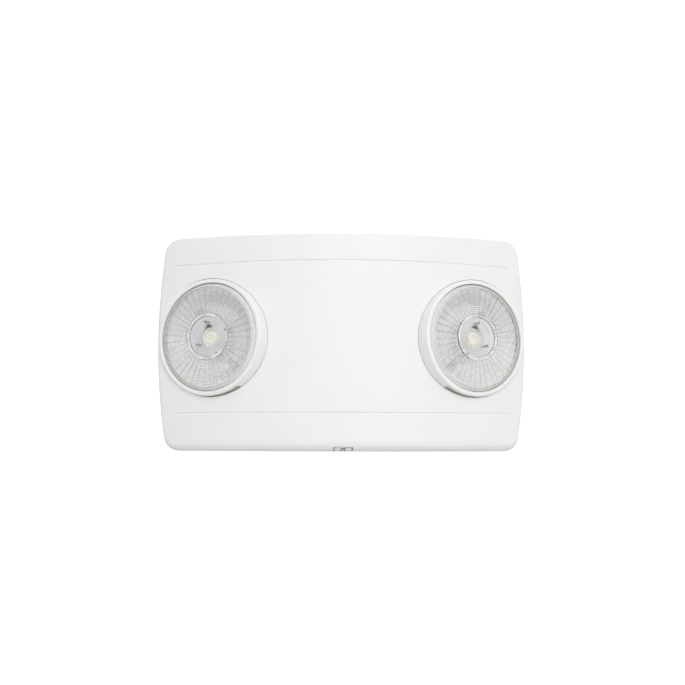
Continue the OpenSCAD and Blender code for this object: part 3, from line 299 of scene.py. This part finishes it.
def mouldedPlastic(name, colour, grain=2600, grainDepth=0.018, roughness=0.42, spread=0.08, rubbed=0.0,
                   paintedGlow=None):
    p = Finish(name)
    patch = p.cloud(*moulded["patch"]).between(*moulded["patchShows"])
    fine = p.cloud(grain, *moulded["grain"])
    pits = p.cells(grain * moulded["pitScale"])
    grained = fine.between(*moulded["grainShows"])
    tone = p.mixed(patch * moulded["patchShare"], colour, tinted(colour, moulded["patchTone"]))
    tone = p.mixed(grained * moulded["grainShare"], tone, tinted(colour, moulded["grainTone"]))
    rough = roughness + spread * (p.cloud(*moulded["sheen"]) - 0.5) + moulded["grainSheen"] * (fine - 0.5)
    if rubbed:
        rough = rough - rubbed * p.cloud(*moulded["handled"]).between(*moulded["handledShows"])
    height = fine * (1 - moulded["pitShare"]) + pits * moulded["pitShare"]
    glow = {}
    # painted light: a faint glow where the mask says, standing in for light bounced between head and seat
    if paintedGlow:
        glow = {"Emission_Color": p.mixed(paintedGlowMask(p, paintedGlow), (0, 0, 0), paintedGlow["colour"]),
                "Emission_Strength": 1.0}
    return p.done(Base_Color=tone, Roughness=rough.clamped(), Normal=p.bump(height, grainDepth),
                  IOR=moulded["ior"], **glow)


# Clear plastics: haze, scuffs, and the slight waves of a polished mould
clear = {"haze": (60, 4), "hazeShows": (0.45, 0.8), "hazeShare": 0.5, "hazeTone": 0.985, "hazeRough": 0.03,
         "scuff": (500, 5, 0.7, (1, 1, 6)), "scuffShows": (0.62, 0.8), "scuffRough": 0.05,
         "wave": (35, 2), "waveDepth": 0.01, "ior": 1.49}


def waves(p):
    return p.bump(p.cloud(*clear["wave"]), clear["waveDepth"])


def clearPlastic(name, colour=(0.93, 0.96, 0.99), roughness=0.03, through=1.0):
    p = Finish(name)
    haze = p.cloud(*clear["haze"]).between(*clear["hazeShows"])
    scuff = p.cloud(*clear["scuff"]).between(*clear["scuffShows"])
    tone = p.mixed(haze * clear["hazeShare"], colour, tinted(colour, clear["hazeTone"]))
    rough = roughness + clear["hazeRough"] * haze + clear["scuffRough"] * scuff
    return p.surface(p.shadowless(p.shader(
        Base_Color=tone, Roughness=rough, Transmission_Weight=through, IOR=clear["ior"], Normal=waves(p))))


# Collimator: over the LED a painted reflection of its phosphor (cream rings, a yellow tip where the LED shows
# through, and a faint painted glow), clear further out, its legs painted grey as shade where they stand on
# the board.
# A pair of radii, or of heights over the head's centre, is where a mask starts to change and where it has.
cone = {"clear": (0.96, 0.965, 0.97), "roughness": 0.04, "hazeRough": 0.02, "ior": 1.2,
        "cream": (0.97, 0.95, 0.87), "creamRadius": (7.0, 7.3), "creamTop": (4.0, 4.8), "creamShare": 0.8,
        "creamRoughness": 0.15, "paintedCreamGlow": 0.12, "ringsPerMm": 0.7, "ringTone": 0.82,
        "tipRadius": (1.2, 1.7), "paintedLedTip": (0.95, 0.86, 0.5),
        "legRadius": (11.2, 11.3), "legTop": (4.2, 4.4), "paintedLegShade": (0.5, 0.5, 0.52),
        "flangeRadius": (7.3, 7.5), "flangeShare": 0.7}


def conePlastic(name):
    p = Finish(name)
    u, v, w = p.inHead()
    radius = (u * u + v * v).root()
    rings = ((radius * cone["ringsPerMm"]).fraction() - 0.5).size() * 2
    # where the clear legs are painted grey as shade
    leg = radius.between(*cone["legRadius"]) * w.below(*cone["legTop"])
    paintedReflectionMask = radius.below(*cone["creamRadius"]) * w.below(*cone["creamTop"])
    flange = radius.between(*cone["flangeRadius"]) * (1 - leg)
    glass = p.shader(Base_Color=p.mixed(leg, cone["clear"], cone["paintedLegShade"]),
                     Roughness=cone["roughness"] + cone["hazeRough"] * p.cloud(*clear["haze"]),
                     Transmission_Weight=1.0, IOR=cone["ior"], Normal=waves(p))
    # painted reflection of the LED's phosphor: cream rings, a yellow tip where the LED shows through, and a
    # faint painted glow
    paintedReflectionTone = p.mixed(rings, cone["cream"], tinted(cone["cream"], cone["ringTone"]))
    paintedReflectionTone = p.mixed(radius.below(*cone["tipRadius"]), paintedReflectionTone, cone["paintedLedTip"])
    paintedReflection = p.shader(Base_Color=paintedReflectionTone, Roughness=cone["creamRoughness"], Emission_Color=paintedReflectionTone,
                   Emission_Strength=cone["paintedCreamGlow"])
    body = p.layered(paintedReflectionMask * cone["creamShare"], glass, paintedReflection)
    return p.surface(p.shadowless(p.layered(flange * cone["flangeShare"], body, p.seeThrough((1, 1, 1)))))


# Metals: fine streaks and stains. The heat sink's opening for the leads is painted near-black as shade,
# placed in the head's frame
metal = {"streak": (900, 4, 0.6), "streakShows": (0.3, 0.7), "streakShare": 0.25, "streakTone": 1.08,
         "streakRough": 0.12, "streakDepth": 0.004, "stain": (45, 4), "stainShows": (0.4, 0.7),
         "stainShare": 0.5, "stainTone": 0.88, "stainRough": 0.08}
leadSlotShade = {"at": (8.0, 3.1), "half": (2.5, 4.6), "soft": 0.2, "colour": (0.09, 0.09, 0.1)}


def plainMetal(name, colour, roughness, cast=0.0, paintedSlotShade=None):
    p = Finish(name)
    streak = p.cloud(*metal["streak"])
    stain = p.cloud(*metal["stain"]).between(*metal["stainShows"])
    streaked = streak.between(*metal["streakShows"])
    tone = p.mixed(stain * metal["stainShare"], colour, tinted(colour, metal["stainTone"]))
    tone = p.mixed(streaked * metal["streakShare"], tone, tinted(colour, metal["streakTone"]))
    # inside the opening for the leads the tone is painted near-black as shade
    if paintedSlotShade:
        nearU, nearV = [(place - at).size().below(half, half + paintedSlotShade["soft"])
                        for place, at, half in zip(p.inHead(), paintedSlotShade["at"], paintedSlotShade["half"])]
        tone = p.mixed(nearU * nearV, tone, paintedSlotShade["colour"])
    rough = roughness + metal["streakRough"] * (streak - 0.5) + metal["stainRough"] * stain
    return p.done(Base_Color=tone, Metallic=1.0, Roughness=rough.clamped(),
                  Normal=p.bump(streak, metal["streakDepth"] + cast))


# Rubber and vinyl: a pale bloom over a fine grain
rubber = {"bloom": (90, 4), "bloomShows": (0.45, 0.8), "bloomShare": 0.4, "paler": 0.05, "bloomRough": 0.1,
          "grain": (1800, 3), "grainDepth": 0.01}


def softRubber(name, colour, roughness=0.55):
    p = Finish(name)
    bloom = p.cloud(*rubber["bloom"]).between(*rubber["bloomShows"])
    pale = tuple(min(1, c + rubber["paler"]) for c in colour)
    return p.done(Base_Color=p.mixed(bloom * rubber["bloomShare"], colour, pale),
                  Roughness=roughness + rubber["bloomRough"] * bloom,
                  Normal=p.bump(p.cloud(*rubber["grain"]), rubber["grainDepth"]))


# Circuit boards: tracks under the solder mask, broken here and there
board = {"trackScale": 62, "trackWidth": 0.08, "offset": 0.5, "broken": (60, 2), "brokenShows": (0.45, 0.55),
         "speck": (900, 3), "speckShare": 0.3, "speckTone": 0.8, "roughness": 0.28, "speckRough": 0.1,
         "coat": 0.4, "trackDepth": 0.03}


def boardMask(name, colour, trace):
    p = Finish(name)
    x, y, z = p.parted()
    tracks = p.node("ShaderNodeTexBrick", {"offset": board["offset"]}, {
        "Vector": p.joined(x, z, 0.0), "Scale": board["trackScale"], "Mortar Size": board["trackWidth"],
        "Color1": (0, 0, 0), "Color2": (0, 0, 0), "Mortar": (1, 1, 1)}, "Fac")
    lines = tracks * p.cloud(*board["broken"]).between(*board["brokenShows"])
    speck = p.cloud(*board["speck"])
    mask = p.mixed(speck * board["speckShare"], colour, tinted(colour, board["speckTone"]))
    return p.done(Base_Color=p.mixed(lines, mask, trace),
                  Roughness=board["roughness"] + board["speckRough"] * speck, Coat_Weight=board["coat"],
                  Normal=p.bump(lines, board["trackDepth"]))


# Transformer: stacked sheets with rusty edges, and a coil under laps of glossy tape
core = {"sheetsPerMetre": 2000, "gapEnds": (0.0, 0.16), "gapStarts": (0.84, 1.0), "gapTone": 0.35,
        "rust": (120, 4), "rustShows": (0.5, 0.75), "rustShare": 0.5, "rustTone": (0.3, 0.22, 0.17),
        "roughness": 0.5, "metallic": 0.5, "gapDepth": 0.05}
coil = {"lapsPerMetre": 250, "lapShows": (0.0, 0.08), "lapTone": 0.6, "wrinkle": (160, 4, 0.5, (1, 4, 1)),
        "wrinkleShare": 0.5, "wrinkleTone": 0.85, "roughness": 0.22, "coat": 0.3, "wrinkleHeight": 0.6,
        "lapHeight": 0.4, "depth": 0.1}


def laminations(name, colour):
    p = Finish(name)
    sheet = (p.parted()[1] * core["sheetsPerMetre"]).fraction()
    edge = sheet.between(*core["gapEnds"]) * sheet.below(*core["gapStarts"])
    rust = p.cloud(*core["rust"]).between(*core["rustShows"])
    rusty = p.mixed(rust * core["rustShare"], colour, core["rustTone"])
    tone = p.mixed(edge, tinted(colour, core["gapTone"]), rusty)
    return p.done(Base_Color=tone, Roughness=core["roughness"], Metallic=core["metallic"],
                  Normal=p.bump(edge, core["gapDepth"]))


def tapedCoil(name, colour):
    p = Finish(name)
    lap = (p.parted()[1] * coil["lapsPerMetre"]).fraction().between(*coil["lapShows"])
    wrinkle = p.cloud(*coil["wrinkle"])
    tape = p.mixed(wrinkle * coil["wrinkleShare"], colour, tinted(colour, coil["wrinkleTone"]))
    height = wrinkle * coil["wrinkleHeight"] + lap * coil["lapHeight"]
    return p.done(Base_Color=p.mixed(lap, tinted(colour, coil["lapTone"]), tape), Roughness=coil["roughness"],
                  Normal=p.bump(height, coil["depth"]), Coat_Weight=coil["coat"])


# Shrunk sleeves, felt, and the soft gel or epoxy over an LED
film = {"pull": (90, 5, 0.6, (0.5, 1, 1)), "pullShows": (0.4, 0.7), "pullShare": 0.5, "pullTone": 0.75,
        "roughness": 0.18, "pullRough": 0.1, "pullDepth": 0.12, "coat": 0.3}
felt = {"fibre": (1400, 6, 0.8), "fibreShows": (0.3, 0.7), "tones": (0.7, 1.4), "roughness": 0.95,
        "depth": 0.2}
gel = {"grain": (2400, 3), "grainShare": 0.5, "grainTone": 0.85, "roughness": 0.2, "coat": 0.6,
       "depth": 0.01}


def shrunkFilm(name, colour):
    p = Finish(name)
    pull = p.cloud(*film["pull"])
    tight = pull.between(*film["pullShows"]) * film["pullShare"]
    return p.done(Base_Color=p.mixed(tight, colour, tinted(colour, film["pullTone"])),
                  Roughness=film["roughness"] + film["pullRough"] * pull, Coat_Weight=film["coat"],
                  Normal=p.bump(pull, film["pullDepth"]))


def feltPad(name, colour):
    p = Finish(name)
    fibre = p.cloud(*felt["fibre"])
    dark, light = [tinted(colour, by) for by in felt["tones"]]
    return p.done(Base_Color=p.mixed(fibre.between(*felt["fibreShows"]), dark, light),
                  Roughness=felt["roughness"], Normal=p.bump(fibre, felt["depth"]))


def phosphorGel(name, colour):
    p = Finish(name)
    grain = p.cloud(*gel["grain"])
    return p.done(Base_Color=p.mixed(grain * gel["grainShare"], colour, tinted(colour, gel["grainTone"])),
                  Roughness=gel["roughness"], Coat_Weight=gel["coat"], Normal=p.bump(grain, gel["depth"]))


# Prismatic lens, in the head's frame: a cap that stands proud of the rim, with pillows under its face and a
# clear window in a bead. The bead's shape is given in steps out from its start and up from the face.
lens = {"face": 9.8, "sheet": 2.0, "foot": 4.6, "flange": 6.9, "radius": 38.7, "chamfer": 0.2,
        "sunk": 0.4, "crown": 0.2, "windowRadii": (3, 8, 12, 14.0), "beadFrom": 14.4,
        "bead": ((0.3, 0.48), (0.8, 0.8), (1.6, 0.8), (2.2, 0.48), (2.6, -0.3), (3.0, -0.3)),
        "fieldFrom": 17.6, "fieldTo": 35.6, "rings": 13, "flutes": 40, "flute": 0.12, "pillow": 0.14,
        "faceRadii": (22, 28, 33, 35.4), "edgeFrom": 35.9, "edgeDrop": 0.08, "flankTop": 36.3,
        "flankDrop": 0.45, "flankFoot": 37.9, "flankFootUp": 0.3,
        "footRadius": 37.0, "wallRadius": 36.3, "wallDown": 0.4, "backEdge": 35.7, "backEdgeDown": 0.1,
        "backRadii": (17.55, 14.2, 8, 3), "step": 0.02, "stepsPerFlute": 10, "stepsPerRing": 6,
        "sharpFrom": 28}

# Its plastic, painted light and shade over clear glass: dark radial lines painted as shade, white dashes
# painted as highlights on the ring edges, cells painted darker at random, painted glints, a painted light
# edge and flank, painted shade in the bead's rings and on the ledge in the gap, and a bluish window.
# A pair is where a mask starts to change and where it has, in millimetres from the lens's axis; the face's in
# height, the line's in millimetres from a groove, and the dash's in parts of a ring.
prism = {"clear": (0.995, 0.985, 0.988), "inner": (0.972, 0.982, 1.0), "innerEnds": (17.0, 31.0),
         "face": (lens["face"] - 1.0, lens["face"] - 0.8),
         "field": (lens["fieldFrom"], lens["fieldFrom"] + 0.4),
         "fieldEnds": (lens["fieldTo"] - 0.3, lens["fieldTo"]),
         "flank": (lens["fieldTo"], lens["fieldTo"] + 0.4), "flankShare": 0.8, "edgeShare": 0.4,
         "patch": (75, 2), "patchShows": (0.35, 0.65), "cellShare": 0.8, "cellShade": 0.93,
         "line": (0.18, 0.48), "lineShade": (0.46, 0.41, 0.38), "linePatchy": 0.35,
         "dash": (0.12, 0.32), "dashCell": 0.65, "dashPatchy": 0.7, "dashShare": 0.5,
         "bead": (lens["beadFrom"] - 0.2, lens["beadFrom"]),
         "beadInside": (lens["beadFrom"] + 0.6, lens["beadFrom"] + 0.8),
         "insideShade": (0.7, 0.79, 0.95), "insideShare": 0.35,
         "groove": (16.7, 16.9), "grooveEnds": (17.4, 17.6), "grooveShade": (0.6, 0.65, 0.75),
         "grooveShare": 0.5,
         "glintEnds": (16.4, 16.6), "glint": (120, 2), "glintShows": (0.48, 0.54), "glintShare": 0.8,
         "ledge": (lens["flankFoot"] + 0.3, lens["flankFoot"] + 0.5), "ledgeShade": (0.62, 0.56, 0.52),
         "ledgeShare": 0.2, "bright": (0.95, 0.95, 0.94), "brightLedgeShade": (0.4, 0.33, 0.28),
         "brightRoughness": 0.3, "roughness": 0.03, "hazeRough": 0.03}


def prismPlastic(name):
    p = Finish(name)
    x, y, z = p.parted()
    radius = (x * x + y * y).root() * (1 / mm)
    onFace = (z * (1 / mm)).between(*prism["face"])
    turn = p.node("ShaderNodeMath", {"operation": "ARCTAN2"}, {0: y, 1: x}) * (lens["flutes"] / (2 * math.pi))
    row = (radius - lens["fieldFrom"]) * (lens["rings"] / (lens["fieldTo"] - lens["fieldFrom"]))
    cell = p.node("ShaderNodeTexWhiteNoise", {"noise_dimensions": "2D"}, {
        "Vector": p.joined(turn.floored(), row.floored(), 0.0)})
    patchy = p.cloud(*prism["patch"]).between(*prism["patchShows"])
    haze = p.cloud(*clear["haze"]).between(*clear["hazeShows"])

    field = onFace * radius.between(*prism["field"]) * radius.below(*prism["fieldEnds"])
    flank = (1 - onFace) * radius.between(*prism["flank"])
    edge = onFace * radius.between(*prism["fieldEnds"])
    ledge = (1 - onFace) * radius.between(*prism["ledge"])
    bead = onFace * radius.between(*prism["bead"])
    inside = bead * radius.below(*prism["beadInside"])
    groove = onFace * radius.between(*prism["groove"]) * radius.below(*prism["grooveEnds"])
    # glint: painted highlights on the bead
    glint = bead * radius.below(*prism["glintEnds"]) * (1 - inside)
    glint = glint * p.cloud(*prism["glint"]).between(*prism["glintShows"])

    besideLine = turn.toWhole() * radius * (2 * math.pi / lens["flutes"])
    # dark radial lines painted as shade between the flutes
    line = besideLine.below(*prism["line"]) * field
    # white dashes along the rings: painted highlights
    dash = row.toWhole().below(*prism["dash"]) * field * (1 - line)
    dash = dash * ((1 - prism["dashCell"]) + prism["dashCell"] * cell)
    dash = dash * ((1 - prism["dashPatchy"]) + prism["dashPatchy"] * patchy)

    tone = p.mixed(radius.between(*prism["innerEnds"]), prism["inner"], prism["clear"])
    # cells painted darker at random, as painted shade for what each cell refracts
    tone = p.mixed(cell * field * prism["cellShare"], tone, tinted(prism["clear"], prism["cellShade"]))
    tone = p.mixed(line * (1 - prism["linePatchy"] * patchy), tone, prism["lineShade"])
    # the groove and the bead's inner wall painted darker and bluish as shade
    tone = p.mixed(groove * prism["grooveShare"], tone, prism["grooveShade"])
    tone = p.mixed(inside * prism["insideShare"], tone, prism["insideShade"])
    # the ledge in the gap beside the rim painted dark as shade
    tone = p.mixed(ledge, tone, prism["ledgeShade"])
    glass = p.shader(Base_Color=tone, Roughness=prism["roughness"] + prism["hazeRough"] * haze,
                     Transmission_Weight=1.0, IOR=clear["ior"], Normal=waves(p))
    bright = p.shader(Base_Color=p.mixed(ledge, prism["bright"], prism["brightLedgeShade"]),
                      Roughness=prism["brightRoughness"])
    # share of painted light: dashes, edge and glints as painted highlights, the flank painted lighter, the
    # ledge darkened
    share = dash * prism["dashShare"] + flank * prism["flankShare"] + ledge * prism["ledgeShare"]
    share = share + edge * prism["edgeShare"] + glint * prism["glintShare"]
    return p.surface(p.shadowless(p.layered(share, glass, bright)))


def revolved(radii, steps, height):  # closed body of rings about Z; height gives z for a ring and a turn
    points, faces = [], []
    for k, radius in enumerate(radii):
        for i in range(steps):
            turn = 2 * math.pi * i / steps
            z = height(k, i / steps)
            points.append((radius * math.cos(turn) * mm, radius * math.sin(turn) * mm, z * mm))
    last = len(radii) - 1
    for k in range(last):
        for i in range(steps):
            j = (i + 1) % steps
            faces.append((k * steps + i, (k + 1) * steps + i, (k + 1) * steps + j, k * steps + j))
    for k, order in ((0, 1), (last, -1)):
        points.append((0, 0, height(k, 0) * mm))
        tip = len(points) - 1
        faces += [(k * steps + i, k * steps + (i + 1) % steps, tip)[::order] for i in range(steps)]
    return points, faces


def lensTop():  # radius and height of each ring, from the window out to the flange
    face, flange, radius = lens["face"], lens["flange"], lens["radius"]
    window, beadFrom, chamfer = face - lens["sunk"], lens["beadFrom"], lens["chamfer"]
    top = [(r, window + lens["crown"] * (1 - (r / beadFrom) ** 2)) for r in (*lens["windowRadii"], beadFrom)]
    top += [(beadFrom + out, face + up) for out, up in lens["bead"]]
    top += [(r, face) for r in (lens["fieldFrom"], *lens["faceRadii"])]
    top += [(lens["edgeFrom"], face - lens["edgeDrop"]), (lens["flankTop"], face - lens["flankDrop"])]
    top += [(lens["flankFoot"], flange + lens["flankFootUp"]), (lens["flankFoot"] + chamfer, flange)]
    return top + [(radius - chamfer, flange), (radius, flange - chamfer)]


def makeLens(side, name, material):
    under = lens["face"] - lens["sheet"]
    top = lensTop()
    back = [(lens["radius"], lens["foot"]), (lens["footRadius"], lens["foot"]),
            (lens["wallRadius"], lens["flange"] - lens["wallDown"]),
            (lens["backEdge"], under - lens["backEdgeDown"])]
    fieldStart = len(top) + len(back)
    ringWidth = (lens["fieldTo"] - lens["fieldFrom"]) / lens["rings"]
    for i in range(lens["rings"]):  # across a ring the second value is how far in; its outer edge has a step
        outer = lens["fieldTo"] - i * ringWidth
        for k in range(lens["stepsPerRing"]):
            share = k / lens["stepsPerRing"]
            back.append((outer - share * ringWidth - (lens["step"] if k == 0 else 0), share))
    fieldRows = range(fieldStart, len(top) + len(back))
    back += [(r, under) for r in lens["backRadii"]]
    stations = top + back

    def height(k, turn):
        if k not in fieldRows:
            return stations[k][1]
        phase = (turn * lens["flutes"]) % 1
        across, along = [1 - (2 * share - 1) ** 2 for share in (phase, stations[k][1])]
        return under - lens["flute"] * across - lens["pillow"] * along

    points, faces = revolved([r for r, _ in stations], lens["flutes"] * lens["stepsPerFlute"], height)
    mesh = bpy.data.meshes.new(name + "_prismatic_lens")
    mesh.from_pydata(points, [], faces)
    mesh.validate()
    mesh.shade_smooth()
    mesh.set_sharp_from_angle(angle=math.radians(lens["sharpFrom"]))
    mesh.materials.append(material)
    piece = added(name + "_prismatic_lens", mesh)
    piece.matrix_world = headPlace(side)
    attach(piece, name + "_head")
    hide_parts(name + "_lens")


# The front's true curve, as the housing's skin has it. A corner takes it where its face lies along the curve
# (cosine) and its point is near it (millimetres)
front = {"radius": 253.0, "depth": 66.0, "along": 0.9985, "near": 0.12}


def smoothFront():
    mesh = nodes["front_cover"].data
    axisY = (front["radius"] - front["depth"]) * mm
    radius = front["radius"] * mm
    corner = [tuple(c.vector) for c in mesh.corner_normals]
    for face in mesh.polygons:
        x, y, z = face.center
        if face.normal.dot(Vector((x, y - axisY, 0)).normalized()) < front["along"]:
            continue
        for loop in face.loop_indices:
            at = mesh.vertices[mesh.loops[loop].vertex_index].co
            out = Vector((at.x, at.y - axisY, 0))
            if abs(math.hypot(at.x, at.y - axisY) - radius) < front["near"] * mm:
                corner[loop] = tuple(out.normalized())
    mesh.normals_split_custom_set(corner)


makeCamera()
makeLights()
makeStage()
print("camera, lamps and stage made")

# Colour, then for mouldings grain, its depth, roughness and its spread; for metals roughness
finishes = {
    "housing": mouldedPlastic("housingPlastic", (0.93, 0.93, 0.925), rubbed=0.05, paintedGlow=seatGapGlow),
    "plate": mouldedPlastic("platePlastic", (0.93, 0.93, 0.925), rubbed=0.05),
    "head": mouldedPlastic("headPlastic", (0.935, 0.935, 0.93), 3200, 0.008, 0.34, 0.05, 0.06, reliefFloorGlow),
    "inner": mouldedPlastic("trayPlastic", (0.88, 0.88, 0.87), 3200, 0.006, 0.32, 0.06),
    "grey": mouldedPlastic("greyPlastic", (0.62, 0.63, 0.64), 2600, 0.012, 0.4),
    "black": mouldedPlastic("blackPlastic", (0.04, 0.04, 0.045), 2600, 0.012, 0.4),
    "relay": mouldedPlastic("relayCase", (0.08, 0.2, 0.55), 2600, 0.004, 0.2),
    "clear": clearPlastic("clearPlastic"),
    "prism": prismPlastic("prismPlastic"),
    "cone": conePlastic("conePlastic"),
    "button": clearPlastic("buttonPlastic", (0.98, 0.98, 0.985), 0.12, 0.22),
    "screw": plainMetal("platedScrew", (0.62, 0.62, 0.62), 0.28),
    "cell": plainMetal("cellSteel", (0.66, 0.67, 0.69), 0.22),
    "aluminium": plainMetal("castAluminium", (0.8, 0.81, 0.82), 0.38, cast=0.02, paintedSlotShade=leadSlotShade),
    "board": boardMask("greenMask", (0.03, 0.16, 0.07), (0.1, 0.32, 0.14)),
    "ledBoard": boardMask("whiteMask", (0.86, 0.86, 0.84), (0.8, 0.8, 0.78)),
    "core": laminations("coreSheets", (0.26, 0.27, 0.29)),
    "coil": tapedCoil("coilTape", (0.75, 0.55, 0.1)),
    "capSleeve": shrunkFilm("capacitorSleeve", (0.03, 0.035, 0.09)),
    "cellSleeve": shrunkFilm("cellSleeve", (0.04, 0.1, 0.42)),
    "phosphor": phosphorGel("phosphorGel", (0.93, 0.84, 0.5)),
    "greenLed": phosphorGel("greenEpoxy", (0.2, 0.65, 0.25)),
    "felt": feltPad("felt", (0.14, 0.14, 0.15)),
    "bushing": softRubber("bushingRubber", (0.035, 0.035, 0.035)),
    "blackLead": softRubber("blackInsulation", (0.03, 0.03, 0.03), 0.4),
    "redLead": softRubber("redInsulation", (0.5, 0.03, 0.03), 0.4),
    "whiteLead": softRubber("whiteInsulation", (0.8, 0.8, 0.79), 0.4),
}
finishOfNode = {
    "back_plate": "plate", "front_cover": "housing", "entry_bushing": "bushing", "terminal_block": "black",
    "terminal_screws": "screw", "control_board": "board", "board_screws": "screw", "transformer_core": "core",
    "transformer_winding": "coil", "capacitors": "capSleeve", "relay": "relay", "lead_headers": "inner",
    "test_switch": "black", "indicator_led": "greenLed", "indicator_lens": "button", "test_button": "button",
    "button_spring": "screw", "battery_cells": "cell", "battery_sleeve": "cellSleeve",
    "battery_retainer": "inner", "retainer_screws": "screw", "mains_leads": "blackLead",
    "battery_leads": "redLead", "bracket_screws": "screw", "lamp_lead": "whiteLead", "lamp_bracket": "inner",
    "turntable": "grey", "pan_washer": "felt", "hub_clip": "screw", "head_shell": "head", "lens": "clear",
    "collimator": "cone", "lamp_tray": "inner", "led_board": "ledBoard", "led": "phosphor",
    "heat_sink": "aluminium", "lamp_screws": "screw", "tilt_pins": "screw", "head_lead": "whiteLead",
}
sharpFrom = 32        # edges that turn more than this stay sharp, in degrees
for node, obj in nodes.items():
    kind = node if node in finishOfNode else node.split("_", 1)[1]
    obj.data.materials.clear()
    obj.data.materials.append(finishes[finishOfNode[kind]])
    obj.data.shade_smooth()
    obj.data.set_sharp_from_angle(angle=math.radians(sharpFrom))
smoothFront()
print("finishes given to", len(nodes), "nodes")

for side, name in ((-1, "left"), (1, "right")):
    makeLens(side, name, finishes["prism"])
print("lenses made")
